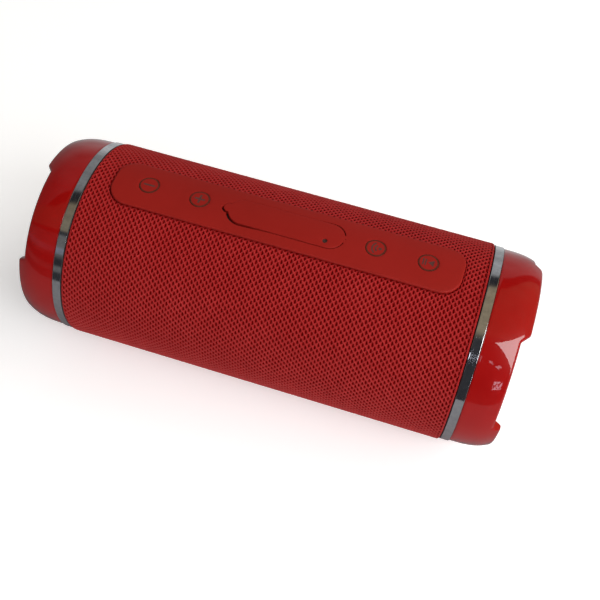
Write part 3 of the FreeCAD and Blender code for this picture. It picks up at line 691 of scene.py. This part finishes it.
def cap_profile(rim, slant):
    """(x, radius) points round the cap's section. rim is its tip's x there and slant the tip's slope."""
    soft = min(RIM_ROUND * math.sqrt(1 + slant * slant), RIM_ROUND_MOST)
    start, turn = CAP_START + CAP_EDGE, rim - soft
    points = [(CAP_START + along, CAP_RADIUS - drop) for along, drop in CAP_EDGE_POINTS]
    for row in range(CAP_ROWS + 1):
        x = start + (turn - start) * (1 - (1 - row / CAP_ROWS) ** CAP_ROW_CROWDING)
        points.append((x, float(cap_radius(x))))
    for sine, cosine in quarter(RIM_STEPS):
        x = turn + soft * sine
        points.append((x, float(cap_radius(x)) - RIM_ROUND * (1 - cosine)))
    outer, inner = points[-1][1], mouth_radius(rim) + RIM_LIP
    points += [(rim, outer + (inner - outer) * step / 3) for step in range(1, 4)]
    points += [(rim - RIM_LIP * (1 - cosine), inner - RIM_LIP * sine) for sine, cosine in quarter(3)]
    for step in range(1, MOUTH_STEPS + 1):
        x = rim - RIM_LIP + (CAP_FLOOR + THROAT_ROUND - rim + RIM_LIP) * step / MOUTH_STEPS
        points.append((x, mouth_radius(x)))
    points += [(CAP_FLOOR + THROAT_ROUND * (1 - sine), CAP_THROAT_RADIUS - THROAT_ROUND * (1 - cosine))
               for sine, cosine in quarter(4)]
    neck = ROLL_HIGH.z + NECK_GAP
    points += [(CAP_FLOOR, neck + NECK_BEVEL), (CAP_FLOOR - NECK_BEVEL, neck), (CAP_START, neck)]
    points += [(CAP_START, SPIGOT_INNER), (CAP_SPIGOT, SPIGOT_INNER)]
    return points + [(CAP_SPIGOT, SPIGOT_OUTER), (CAP_START, SPIGOT_OUTER)]


def build_caps():
    for side, sign in SIDES.items():
        angles, shares, slopes = notch_share(NOTCH_STARTS[side])
        vertices = []
        for angle, share, slope in zip(np.radians(angles), shares, slopes):
            slant = slope * NOTCH_DEPTH * 180 / math.pi / CAP_TIP_RADIUS
            profile = cap_profile(HALF_LENGTH - NOTCH_DEPTH * share, slant)
            vertices += [(sign * x, -r * math.sin(angle), r * math.cos(angle)) for x, r in profile]
        shape = Shape()
        shape.add(vertices, grid_faces(len(angles), len(profile), True, True))
        make_piece(f"end_cap_{side}_moulding", shape, "housing", "cap_gloss", [f"end_cap_{side}"],
                   sharp=50)


def build_rings():
    """Trim rings: a flat plated band between rounded shoulders, with painted shade in dark, dull grey on
    the flank by the cloth.
    """
    near, far = RING_START + RING_SHOULDER, RING_END - RING_FAR_SHOULDER
    profile = [(RING_START, RING_INNER)]
    profile += arc_points(near, RING_RADIUS - RING_SHOULDER, RING_SHOULDER, 180, 90, SHOULDER_STEPS)
    # Faces up the shoulder by the cloth take the dark grey of painted shade.
    dull = len(profile) - 2
    profile += [(near + RING_FLAT, RING_RADIUS), (far - RING_FLAT, RING_RADIUS)]
    profile += arc_points(far, RING_RADIUS - RING_FAR_SHOULDER, RING_FAR_SHOULDER, 90, 0, SHOULDER_STEPS)
    profile.append((RING_END, RING_INNER))
    for side, sign in SIDES.items():
        shape = turned_shape(profile, RING_SEGMENTS, sign)
        shape.paints = [int(n % len(profile) < dull) for n in range(len(shape.faces))]
        make_piece(f"trim_ring_{side}_band", shape, "housing", "trim_chrome", [f"trim_ring_{side}"],
                   sharp=50, extra=["ring_flank_shade"])


# ---- knitted sleeve

PANEL_CREASE = 0.45
PANEL_CREASE_WIDTH = 0.5
PANEL_PULL = 0.45
PANEL_PULL_REACH = 2.6
EDGE_ROUND = 1.0
EDGE_DROP = 0.4
HOLE_UNEVENNESS = 0.06
STRAND_UNEVENNESS = 0.012
MESH_OUTLINE = ((2, 0), (1, 1), (0, 2), (-1, 1), (-2, 0), (-1, -1), (0, -2), (1, -1))
HEM = 0.7
HEM_DEPTH = 0.12
HEM_SEGMENTS = 240
FOOT_TUCK = 0.6
LINING_DEPTH = 0.72
LINING_TUCK = 0.9
LINING_ROWS = 120
LINING_SEGMENTS = 180
LINING_CLEARANCE = 0.01


def sleeve_radius(x):
    """Height of the cloth, which rolls over towards the trim rings."""
    past = np.clip((np.abs(x) - KNIT_END + EDGE_ROUND) / EDGE_ROUND, 0, 1)
    return FABRIC_RADIUS - EDGE_DROP * (1 - np.sqrt(1 - past * past))


def distance_to_panel(x, arc):
    """Signed distance from the panel's edge along the cloth, and the way to its nearest point."""
    half_arc = PANEL_RADIUS * math.asin(PANEL_HALF_WIDTH / PANEL_RADIUS)
    qx = np.abs(x) - (PANEL_HALF_LENGTH - PANEL_CORNER)
    qy = np.abs(arc) - (half_arc - PANEL_CORNER)
    ox, oy = np.maximum(qx, 0), np.maximum(qy, 0)
    length = np.hypot(ox, oy)
    distance = length + np.minimum(np.maximum(qx, qy), 0) - PANEL_CORNER
    safe = np.maximum(length, 1e-9)
    return distance, np.sign(x) * ox / safe, np.sign(arc) * oy / safe


def on_cloth(x, arc, lift):
    """Points at (x, length round the body) with a height above the cloth, drawn towards the panel."""
    distance, dx, dy = distance_to_panel(x, arc)
    near = np.where(distance > 0, distance / PANEL_PULL_REACH, 0)
    pull = PANEL_PULL * near * np.exp(1 - near)
    crease = PANEL_CREASE * np.exp(-(np.clip(distance, 0, None) / PANEL_CREASE_WIDTH) ** 2)
    x = np.clip(x - dx * pull, -KNIT_END, KNIT_END)
    angle = (arc - dy * pull) / FABRIC_RADIUS
    radius = sleeve_radius(x) + lift - crease
    return np.stack([x, -radius * np.sin(angle), radius * np.cos(angle)], axis=-1)


def foot_window(x, arc):
    """Is this place inside the opening for the rubber foot?"""
    across = np.abs(np.abs(arc) - math.pi * FABRIC_RADIUS)
    return (np.abs(x) < FOOT_HIGH.x - FOOT_TUCK) & (across < FOOT_HIGH.y - FOOT_TUCK)


def build_knit():
    """Open knit: a net of diagonal strands with an oval hole in each mesh."""
    half_x = KNIT_PITCH / 2
    noise = np.random.default_rng(KNIT_SEED)
    places, index, faces = [], {}, []

    def vertex(key, *place):
        if key not in index:
            index[key] = len(places)
            places.append(place)
        return index[key]

    for i in range(-KNIT_HALF_COLUMNS + 1, KNIT_HALF_COLUMNS):
        for j in range(i % 2, KNIT_ROWS, 2):
            x = i * half_x
            arc = (j if j <= KNIT_ROWS / 2 else j - KNIT_ROWS) * KNIT_ROW
            panel = distance_to_panel(np.array(x), np.array(arc))[0]
            if panel < -PANEL_LIP - KNIT_ROW or foot_window(x, arc):
                continue
            outer = []
            for step, (di, dj) in enumerate(MESH_OUTLINE):
                key = (2 * i + di, (2 * j + dj) % (2 * KNIT_ROWS))
                lift = KNIT_KNOT if step % 2 == 0 else 0.0
                outer.append(vertex(key, x + di * half_x / 2, arc + dj * KNIT_ROW / 2, lift))
            if panel < -KNIT_TUCK:
                faces.append(tuple(outer))
                continue
            size = 1 + HOLE_UNEVENNESS * noise.standard_normal()
            rim = []
            for step in range(8):
                turn = math.radians(45 * step)
                hole_x = x + KNIT_HOLE_X * size * math.cos(turn)
                hole_arc = arc + KNIT_HOLE_Y * size * math.sin(turn)
                rim.append(vertex((i, j, step), hole_x, hole_arc, -KNIT_DEPTH))
            faces += [(outer[n], outer[(n + 1) % 8], rim[(n + 1) % 8], rim[n]) for n in range(8)]
    table = np.array(places)
    table[:, 2] += STRAND_UNEVENNESS * noise.standard_normal(len(table))
    shape = Shape()
    shape.add(on_cloth(*table.T).tolist(), faces)
    return make_piece("fabric_sleeve_knit", shape, "housing", "fabric_red", ["fabric_sleeve"],
                      sharp=180, clean=False)


def build_lining():
    """Backing cloth under the knit, open under the panel and the foot, with hems beside the rings."""
    profile = [(x, max(sleeve_radius(x) - LINING_DEPTH, PANEL_SEAT + LINING_CLEARANCE))
               for x in np.linspace(-KNIT_END, KNIT_END, LINING_ROWS + 1)]
    vertices, faces = turned(profile, LINING_SEGMENTS, closed=False)
    centres = np.array([np.mean([vertices[n] for n in face], axis=0) for face in faces])
    arcs = FABRIC_RADIUS * np.arctan2(-centres[:, 1], centres[:, 2])
    panel = distance_to_panel(centres[:, 0], arcs)[0]
    open_here = (panel < LINING_TUCK - PANEL_LIP) | foot_window(centres[:, 0], arcs)
    shape = Shape()
    shape.add(vertices, [face for face, skip in zip(faces, open_here) if not skip], 1)
    for sign in (-1, 1):
        hem = [(sign * x, sleeve_radius(x) - HEM_DEPTH) for x in np.linspace(KNIT_END - HEM, KNIT_END, 9)]
        hem.append((sign * KNIT_END, PANEL_SEAT))
        shape.add(*turned(hem, HEM_SEGMENTS, closed=False))
    return make_piece("fabric_sleeve_lining", shape, "housing", "fabric_red", ["fabric_sleeve"],
                      sharp=180, extra=["lining"])


# ---- control panel, keys and port cover

PANEL_SOFT = 0.5
NEST_SOFT = (0.03, 0.12)
COVER_SOFT = (0.03, 0.2)
KEY_SEGMENTS = 64
KEY_SOFT = 0.1
KEY_OPENING_SOFT = 0.07
KEY_SKIRT = 38.15
KEY_POST_RADIUS = 1.6
KEY_RING_WIDTH = 0.56
MIC_SOFT = 0.12
MIC_DEPTH = 0.35
MIC_PINHOLE = 0.13
MIC_PINHOLES_AT = 0.36
PLUG_LEFT = -18.6
PLUG_RIGHT = 12.6
PLUG_HALF_WIDTH = 3.45
PLUG_BEVEL = 0.3
WEB_HALF_WIDTH = 1.7
WEB_OVERLAP = 0.35
WEB_THICKNESS = 0.5
WEB_ROWS = 14
WEB_COLUMNS = 24
WEB_SUNK = 0.03
WEB_SWELL = 0.05
WEB_PIT = 0.28
WEB_PIT_DEPTH = 0.3


def edge_loops(outline, inward, soft, top, bottom, steps=5):
    """Loops down a rounded edge. inward is -1 where growing the outline leaves the material."""
    soft = np.broadcast_to(soft, len(outline))
    loops = []
    for sine, cosine in [(0.0, 1.0), *quarter(steps)]:
        shifted = grown(outline, inward * soft * (1 - sine))
        radii = top - soft * (1 - cosine)
        loops.append([(x, y, math.sqrt(r * r - y * y)) for (x, y), r in zip(shifted, radii)])
    return [*loops, placed(outline, on_radius(bottom))]


def panel_outline(inset):
    half = PANEL_HALF_LENGTH - inset
    return rounded_outline(-half, half, PANEL_HALF_WIDTH - inset, PANEL_CORNER - inset)


def key_circle(name):
    """(x, radius) of a key's face."""
    low, high = cad_box("key_" + name)
    return (low.x + high.x) / 2, (high.x - low.x) / 2


def build_panel():
    """Silicone skin with a soft lip, round openings for the keys and a nest for the port cover."""
    outside = []
    for sine, cosine in [(0.0, 1.0), *quarter(6)]:
        outline = panel_outline(PANEL_SOFT * (1 - sine))
        outside.append(placed(outline, on_radius(PANEL_RADIUS - PANEL_SOFT * (1 - cosine))))
    outside.append(placed(panel_outline(0), on_radius(PANEL_LIP_UNDERSIDE)))
    outside.append(placed(panel_outline(PANEL_LIP), on_radius(PANEL_LIP_UNDERSIDE)))
    outside.append(placed(panel_outline(PANEL_LIP), on_radius(PANEL_SEAT)))
    openings = []
    for name in KEYS:
        x, radius = key_circle(name)
        hole = circle_outline(x, 0, radius + KEY_GAP, KEY_SEGMENTS)
        openings.append(edge_loops(hole, 1, KEY_OPENING_SOFT, PANEL_RADIUS, PANEL_SEAT, 3))
    nest = cover_outline(NEST_UPPER, NEST_LOWER)
    openings.append(edge_loops(nest, 1, seam_softness(nest, *NEST_SOFT), PANEL_RADIUS, PANEL_SEAT))
    shape = Shape()
    for loops in (outside, *openings):
        shape.wall(loops)
    tops = [plan_of(loops[0]) for loops in openings]
    floors = [plan_of(loops[-1]) for loops in openings]
    shape.plate(plan_of(outside[0]), tops, on_radius(PANEL_RADIUS), spacing=1.2)
    shape.plate(plan_of(outside[-1]), floors, on_radius(PANEL_SEAT), spacing=2.5)
    make_piece("control_panel_skin", shape, "housing", "panel_silicone", ["control_panel"])


def bar(x, y, length, width, angle=0.0):
    """A bar with round ends, centred on a point of the key's face."""
    half = length / 2 - width / 2
    ends = arc_points(half, 0, width / 2, -90, 90, 6) + arc_points(-half, 0, width / 2, 90, 270, 6)
    c, s = math.cos(math.radians(angle)), math.sin(math.radians(angle))
    return [(x + c * px - s * py, y + s * px + c * py) for px, py in ends]


def wave(x, y, radius, width, reach):
    """A curved stroke of a wireless sign, bulging towards -X."""
    outer = arc_points(x, y, radius + width / 2, 180 - reach, 180 + reach, 10)
    return outer + arc_points(x, y, radius - width / 2, 180 + reach, 180 - reach, 10)


def cross_outline(x, y, length, width):
    arm = [(length / 2, -width / 2), (length / 2, width / 2), (width / 2, width / 2)]
    points = []
    for _ in range(4):
        points += [(x + px, y + py) for px, py in arm]
        arm = [(-py, px) for px, py in arm]
    return points


def key_marks(name, x):
    """The printed sign on each key, as outlines. The signs are read from behind the speaker."""
    if name == "minus":
        return [bar(x, 0, 4.4, 0.72)]
    if name == "plus":
        return [cross_outline(x, 0, 3.9, 0.78)]
    if name == "wireless":
        return [circle_outline(x + 1.6, 0, 0.62, 20), wave(x + 1.6, 0, 1.65, 0.56, 52),
                wave(x + 1.6, 0, 2.95, 0.56, 52)]
    triangle = [(x + 2.0, 1.4), (x - 0.2, 0), (x + 2.0, -1.4)]
    return [triangle, bar(x - 0.95, 0, 3.0, 0.52, 90), bar(x - 1.9, 0, 3.0, 0.52, 90)]


def build_keys():
    """Key faces level with the panel, with a printed ring and sign, on a post."""
    for name in KEYS:
        x, radius = key_circle(name)
        foot = at_height(cad_box("key_" + name)[0].z)
        rim, within, post = [circle_outline(x, 0, r, KEY_SEGMENTS)
                             for r in (radius, radius - KEY_RING_WIDTH, KEY_POST_RADIUS)]
        edge = edge_loops(rim, -1, KEY_SOFT, PANEL_RADIUS, KEY_SKIRT, 3)
        marks = [(within, 0)] + [(mark, 2) for mark in key_marks(name, x)]
        shape = Shape()
        shape.wall(edge, 1)
        shape.wall([edge[-1], placed(post, on_radius(KEY_SKIRT)), placed(post, foot)])
        shape.plate(plan_of(edge[0]), [], on_radius(PANEL_RADIUS), marks, spacing=0.7, paint=1)
        shape.plate(post, [], foot)
        make_piece(f"key_{name}_face", shape, "key_" + name, "panel_silicone", ["key_" + name],
                   extra=["ink_ring", "ink_mark"])


def build_cover():
    """Port cover: soft-edged flap with a finger tab, sealing plug and microphone grille."""
    outline = cover_outline()
    edge = edge_loops(outline, -1, seam_softness(outline, *COVER_SOFT), PANEL_RADIUS, COVER_UNDERSIDE)
    mic = circle_outline(MIC_X, MIC_Y, MIC_RADIUS, 32)
    mic_edge = edge_loops(mic, 1, MIC_SOFT, PANEL_RADIUS, PANEL_RADIUS - MIC_DEPTH, 3)
    # The pinholes are near-black dots painted on the grille: painted shade, with no holes cut.
    pinhole_shades = [(circle_outline(x, y, MIC_PINHOLE, 10), 2)
                for x, y in circle_outline(MIC_X, MIC_Y, MIC_PINHOLES_AT, 5)]
    plug, plug_end = [rounded_outline(PLUG_LEFT + bevel, PLUG_RIGHT - bevel, PLUG_HALF_WIDTH - bevel,
                                      PLUG_HALF_WIDTH - bevel) for bevel in (0, PLUG_BEVEL)]
    low = COVER_LOW.z
    shape = Shape()
    shape.wall(edge)
    shape.wall(mic_edge)
    shape.wall([placed(plug, on_radius(COVER_UNDERSIDE)), placed(plug, at_height(low + PLUG_BEVEL)),
                placed(plug_end, at_height(low))])
    shape.plate(plan_of(edge[0]), [plan_of(mic_edge[0])], on_radius(PANEL_RADIUS), spacing=1.2)
    shape.plate(mic, [], on_radius(PANEL_RADIUS - MIC_DEPTH), pinhole_shades, spacing=0.3, paint=1)
    shape.plate(outline, [plug], on_radius(COVER_UNDERSIDE), spacing=2.0)
    shape.plate(plug_end, [], at_height(low), spacing=2.0)
    make_piece("port_cover_flap", shape, "cover", "panel_silicone", ["port_cover"],
               extra=["mic_mesh", "mic_pinhole_shade"])


def build_web():
    """Thin silicone web at the cover's tip, built in its closed shape."""
    start, end = COVER_HIGH.x - WEB_OVERLAP, COVER_HIGH.x + COVER_GAP + WEB_OVERLAP
    rows, columns = WEB_ROWS + 1, WEB_COLUMNS + 1
    along, across = np.meshgrid(np.linspace(0, 1, rows), np.linspace(-1, 1, columns), indexing="ij")
    x, y = start + (end - start) * along, WEB_HALF_WIDTH * across
    swell = WEB_SWELL * np.sqrt(np.abs(np.sin(math.pi * along))) * (1 - across ** 4)
    pit = WEB_PIT_DEPTH * np.exp(-((x - (start + end) / 2) ** 2 + y * y) / WEB_PIT ** 2)
    skins = [np.stack([x, y, np.sqrt(radius ** 2 - y * y)], axis=-1).reshape(-1, 3)
             for radius in (PANEL_RADIUS - WEB_SUNK + swell - pit, PANEL_RADIUS - WEB_THICKNESS)]
    number = np.arange(rows * columns).reshape(rows, columns)
    rim = np.concatenate([number[0], number[1:, -1], number[-1, -2::-1], number[-2:0:-1, 0]])
    after = np.roll(rim, -1)
    upper = np.array(grid_faces(rows, columns, False, False))
    sides = np.stack([rim, after, after + number.size, rim + number.size], axis=1)
    shape = Shape()
    shape.add(np.concatenate(skins), np.concatenate([upper, upper[:, ::-1] + number.size, sides]).tolist())
    web = make_piece("port_cover_web", shape, None, "panel_silicone")
    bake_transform(web)


# ---- radiators and foot

ROLL_THICKNESS = 0.6
ROLL_HELD = 0.6
ROLL_LAP = 0.5
ROLL_FLAT = 1.0
ROLL_RISE = 2.4
ROLL_STEPS = 24
ROLL_SEGMENTS = 144
# (depth under the plate's face, radius) up its boss, and (depth, distance inside the rim) at its edge
PLATE_BOSS = ((0.0, 0.02), (0.0, 5.4), (0.05, 5.8), (0.45, 6.2), (0.5, 6.6))
PLATE_EDGE = ((0.05, 3.4), (0.02, 2.9), (0.3, 2.4), (0.8, 1.6), (0.85, 0.3), (1.1, 0.0))
DISH_RISE = 0.2
DISH_MARGIN = 3.8
DISH_STEPS = 8
FOOT_BEVEL = 0.5
FOOT_LEAST_CORNER = 0.4
FOOT_GROOVE_HALF = 0.35
FOOT_GROOVE_FLOOR_HALF = 0.2
FOOT_GROOVES = (2.0, 3.8, 5.6)
FOOT_GROOVE_DEPTH = 0.4


def build_radiators():
    """Rubber roll and spun plate in the mouth of each cap."""
    inner, outer = PLATE_HIGH.z, ROLL_HIGH.z
    base, half = ROLL_LOW.x, ROLL_THICKNESS / 2
    middle, reach = (inner + outer) / 2, (outer - inner) / 2 - ROLL_FLAT
    top, under = [(base + ROLL_THICKNESS, inner - ROLL_HELD)], [(base, inner - ROLL_HELD)]
    for step in range(ROLL_STEPS + 1):
        angle = math.pi * step / ROLL_STEPS
        shift, rise = -math.cos(angle), ROLL_RISE * math.sin(angle)
        top.append((base + ROLL_THICKNESS + rise, middle + (reach + half) * shift))
        under.append((base + rise, middle + (reach - half) * shift))
    top.append((base + ROLL_THICKNESS, outer + ROLL_LAP))
    under.append((base, outer + ROLL_LAP))
    for side, sign in SIDES.items():
        shape = turned_shape(top + under[::-1], ROLL_SEGMENTS, sign)
        roll = make_piece(f"radiator_roll_{side}", shape, None, "radiator_rubber",
                          [f"radiator_surround_{side}"])
        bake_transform(roll)
        build_plate(side, sign)


def build_plate(side, sign):
    """Turned aluminium plate: a shallow dish with a raised boss and a bevelled rim."""
    face, back, rim = PLATE_HIGH.x, PLATE_LOW.x, PLATE_HIGH.z
    profile = [(face - depth, radius) for depth, radius in PLATE_BOSS]
    floor, inner = profile[-1]
    for step in range(1, DISH_STEPS + 1):
        share = step / DISH_STEPS
        profile.append((floor + DISH_RISE * share * share, inner + (rim - DISH_MARGIN - inner) * share))
    profile += [(face - depth, rim - inset) for depth, inset in PLATE_EDGE]
    profile += [(back, rim), (back, PLATE_BOSS[0][1])]
    make_piece(f"radiator_disc_{side}", turned_shape(profile, ROLL_SEGMENTS, sign), "radiator_" + side,
               "radiator_metal", [f"radiator_plate_{side}"], sharp=35)


def build_foot():
    """Rubber foot: a bevelled sole with grooves that follow its outline."""
    half, width, bottom = FOOT_HIGH.x, FOOT_HIGH.y, FOOT_LOW.z
    seat = on_radius(PANEL_SEAT)

    def under_shell(x, y):
        return -seat(x, y)

    def loop(inset, height):
        corner = max(FOOT_CORNER - inset, FOOT_LEAST_CORNER)
        return placed(rounded_outline(-half + inset, half - inset, width - inset, corner), height)

    loops = [loop(0, under_shell)]
    steps = [(0, FOOT_BEVEL), (0.15, 0.15), (FOOT_BEVEL, 0)]
    for groove in FOOT_GROOVES:
        steps += [(groove - FOOT_GROOVE_HALF, 0), (groove - FOOT_GROOVE_FLOOR_HALF, FOOT_GROOVE_DEPTH),
                  (groove + FOOT_GROOVE_FLOOR_HALF, FOOT_GROOVE_DEPTH), (groove + FOOT_GROOVE_HALF, 0)]
    loops += [loop(inset, at_height(bottom + rise)) for inset, rise in steps]
    shape = Shape()
    shape.wall(loops)
    shape.plate(plan_of(loops[-1]), [], at_height(bottom), spacing=3)
    shape.plate(plan_of(loops[0]), [], under_shell, spacing=3)
    make_piece("base_foot_sole", shape, "housing", "foot_rubber", ["base_foot"], sharp=30)


# ---- studio

# The camera's lens, its azimuth, elevation and roll, and its place about the body's middle
CAMERA_LENS = 56.484
CAMERA_ANGLES = (12.607, 53.966, 5.828)
CAMERA_PLACE = (55.74, -213.0, 295.9)

FLOOR_REACH = 6.0
FLOOR_Z = -0.0004
TABLE_REACH = 0.9
TABLE_FRONT = -0.26
TABLE_BACK = 0.02
BLUISH = (0.85, 0.88, 1.0)
LILAC = (0.9, 0.85, 1.0)
LEAF_GAPS = (0.44, 0.56)

# What the glossy parts reflect, in degrees from straight up towards the front
ROOM = {
    "white": (0.70, 0.70, 0.71),
    "light": (0.32, 0.325, 0.33),
    "pale": (0.37, 0.375, 0.38),
    "olive": (0.27, 0.22, 0.15),
    "moss": (0.17, 0.145, 0.105),
    "grey": (0.13, 0.13, 0.13),
    "blue": (0.22, 0.23, 0.28),
    "dark": (0.03, 0.03, 0.034),
}
OVERHEAD = ((-180, "white"), (-128, "white"), (-106, "pale"), (-52, "light"), (-48, "dark"), (-36, "dark"),
            (-32, "olive"), (180, "olive"))
FRONT_LEFT = ((-180, "moss"), (41, "moss"), (43, "dark"), (46, "dark"), (48, "grey"), (61, "grey"),
              (63, "blue"), (68, "blue"), (70, "grey"), (76, "dark"), (83, "dark"), (85, "grey"),
              (91, "grey"), (93, "dark"), (180, "dark"))
FRONT_RIGHT = ((-180, "olive"), (20, "olive"), (30, "dark"), (180, "dark"))
CAMERA_SEES = (0.9, 0.9, 0.9, 1)

# How many degrees the bands overhead lean by x, which runs from -1 to 1, and are turned
SLANT_BY_X = 96.0
OVERHEAD_TURN = 6.0
# (slope, level) of what changes with x, with the angle and with the noise
DIMMER_BY_X = (0.9, 0.93)
RIGHT_SIDE_BY_X = (5.0, 1.25)
FORWARD_BY_ANGLE = (0.2, -2.8)
CLUTTER = (1.1, 0.45)
LEAST_DIMMER = 0.3


def build_camera():
    """Camera above the front, a little to the right, with the frame rolled."""
    data = bpy.data.cameras.new("camera")
    data.sensor_width = 36.0
    data.lens = CAMERA_LENS
    data.clip_start = 0.01
    data.clip_end = 50
    azimuth, elevation, roll = (math.radians(a) for a in CAMERA_ANGLES)
    aim = Matrix.Rotation(azimuth, 4, "Z") @ Matrix.Rotation(math.pi / 2 - elevation, 4, "X")
    place = Vector(CAMERA_PLACE) * MM + Vector((0, 0, LIFT))
    camera = link("camera", data)
    camera.matrix_world = Matrix.Translation(place) @ aim @ Matrix.Rotation(roll, 4, "Z")
    bpy.context.scene.camera = camera


def area_light(name, place, target, width, height, power):
    """Soft light aimed at a point, unseen in the glossy surfaces. Places are in metres."""
    data = bpy.data.lights.new(name, "AREA")
    data.shape = "RECTANGLE"
    data.size = width
    data.size_y = height
    data.energy = power
    light = link(name, data)
    light.location = place
    light.rotation_euler = (Vector(target) - Vector(place)).to_track_quat("-Z", "Y").to_euler()
    light.visible_glossy = False


def stage_card(name, corners, material, seen_by):
    """A flat card of the studio. seen_by lists the kinds of ray that meet it."""
    mesh = bpy.data.meshes.new(name)
    mesh.from_pydata(corners, [], [tuple(range(len(corners)))])
    mesh.materials.append(material)
    card = link(name, mesh)
    for ray in ("camera", "diffuse", "glossy", "transmission", "shadow"):
        setattr(card, "visible_" + ray, ray in seen_by)


def floor_card(name, x, front, back, z, shade, glow, seen_by):
    """A level card from -x to x, of a nearly even shade."""
    finish = Finish("studio_" + name, 0.9, Emission_Color=(1, 1, 1, 1), Emission_Strength=glow)
    finish.colour(finish.noise(3, 2), (0.3, tuple(c * 0.98 for c in shade)), (0.7, shade))
    stage_card(name, [(-x, front, z), (x, front, z), (x, back, z), (-x, back, z)], finish.material, seen_by)


def build_floor():
    """White floor, and the smaller grey table that the glossy parts show."""
    floor_card("floor", FLOOR_REACH, -FLOOR_REACH, FLOOR_REACH, FLOOR_Z, (0.86, 0.86, 0.86), 0.45,
               ("camera", "diffuse", "shadow", "transmission"))
    floor_card("table", TABLE_REACH, TABLE_FRONT, TABLE_BACK, 0, (0.24, 0.245, 0.26), 0.0, ("glossy",))


def window(name, directions, distance, strength, colour=(1, 1, 1), leaves=0.0):
    """A glowing pane whose corners lie in these directions. leaves is how finely foliage breaks it up."""
    finish = Finish(name, 0.5, Base_Color=(0, 0, 0, 1), Emission_Color=(*colour, 1),
                    Emission_Strength=strength)
    if leaves:
        gaps = finish.node("MapRange")
        finish.fill(gaps, finish.noise(leaves, 1.0, 0.5), *LEAF_GAPS, 0.0, strength)
        finish.feed(finish.shader.inputs["Emission Strength"], gaps.outputs[0])
    corners = [Vector(d).normalized() * distance + Vector((0, 0, LIFT)) for d in directions]
    stage_card(name, corners, finish.material, ("diffuse", "glossy"))


def build_world():
    """A pale room for the eye, and bands of light and dark that the glossy parts reflect."""
    world = bpy.data.worlds.new("studio")
    bpy.context.scene.world = world
    world.use_nodes = True
    world.node_tree.nodes.clear()
    room = Nodes(world.node_tree, "Generated")
    maths = room.maths

    def bands(value, stops):
        tones = [((place + 180) / 360, ROOM[tone]) for place, tone in stops]
        return room.ramp(maths("MULTIPLY_ADD", value, 1 / 360, 0.5), *tones)

    def mixed(kind, share, first, second):
        mix = room.node("Mix", data_type="RGBA", blend_type=kind)
        for number, value in ((0, share), (6, first), (7, second)):
            room.feed(mix.inputs[number], value)
        return mix.outputs[2]

    x, y, z = room.split(room.where)
    angle = maths("DEGREES", maths("ARCTAN2", maths("MULTIPLY", y, -1.0), z))
    slant = maths("MULTIPLY_ADD", x, SLANT_BY_X, angle)
    dimmer = maths("MAXIMUM", maths("MULTIPLY_ADD", x, *DIMMER_BY_X, clamp=True), LEAST_DIMMER)
    dimmed = room.fill(room.node("CombineColor"), dimmer, dimmer, dimmer)
    overhead = mixed("MULTIPLY", 1.0, bands(maths("SUBTRACT", slant, OVERHEAD_TURN), OVERHEAD), dimmed)
    side = maths("MULTIPLY_ADD", x, *RIGHT_SIDE_BY_X, clamp=True)
    front = mixed("MIX", side, bands(angle, FRONT_LEFT), bands(angle, FRONT_RIGHT))
    forward = maths("MULTIPLY_ADD", angle, *FORWARD_BY_ANGLE, clamp=True)
    uneven = maths("MULTIPLY_ADD", room.noise(4.0, 2.0, 0.5), *CLUTTER)
    mirrored = room.fill(room.node("Background"), mixed("MIX", forward, overhead, front), uneven)
    seen = room.fill(room.node("Background"), CAMERA_SEES)
    to_camera = room.node("LightPath").outputs["Is Camera Ray"]
    chosen = room.fill(room.node("MixShader"), to_camera, mirrored, seen)
    room.feed(room.node("OutputWorld").inputs[0], chosen)


def build_lights():
    """Soft light from above, and the bright windows that the right-hand cap mirrors."""
    middle = (0.0, 0.0, 0.03)
    area_light("light_top", (1.4, 0.6, 1.7), middle, 2.0, 2.0, 23.0)
    area_light("light_front", (0.35, -1.0, 0.7), middle, 0.9, 0.6, 1.2)
    window("window_main", [(0.205, -0.467, 0.86), (0.80, -0.55, 0.22), (0.80, -0.02, 0.60)], 1.2, 7.0)
    pane = [(0.00, -0.72, 0.69), (0.00, -0.80, 0.60), (0.085, -0.80, 0.60), (0.085, -0.72, 0.69)]
    window("window_pane", pane, 1.3, 3.4, BLUISH)
    strip = [(0.13, -0.735, 0.665), (0.13, -0.75, 0.65), (0.47, -0.76, 0.46), (0.46, -0.71, 0.54)]
    window("window_strip", strip, 1.3, 3.8, BLUISH, leaves=9.0)
    low = [(0.37, -0.89, 0.31), (0.37, -0.92, 0.14), (0.58, -0.81, 0.12), (0.58, -0.77, 0.27)]
    window("window_low", low, 1.3, 5.6, LILAC, leaves=16.0)


# ---- making it all

build_camera()
build_world()
build_lights()
build_floor()
add_plain_finishes()
dress_cad_nodes()
build_caps()
build_rings()
build_knit()
build_lining()
build_panel()
build_keys()
build_cover()
build_web()
build_radiators()
build_foot()

bpy.context.scene.view_settings.view_transform = "Standard"
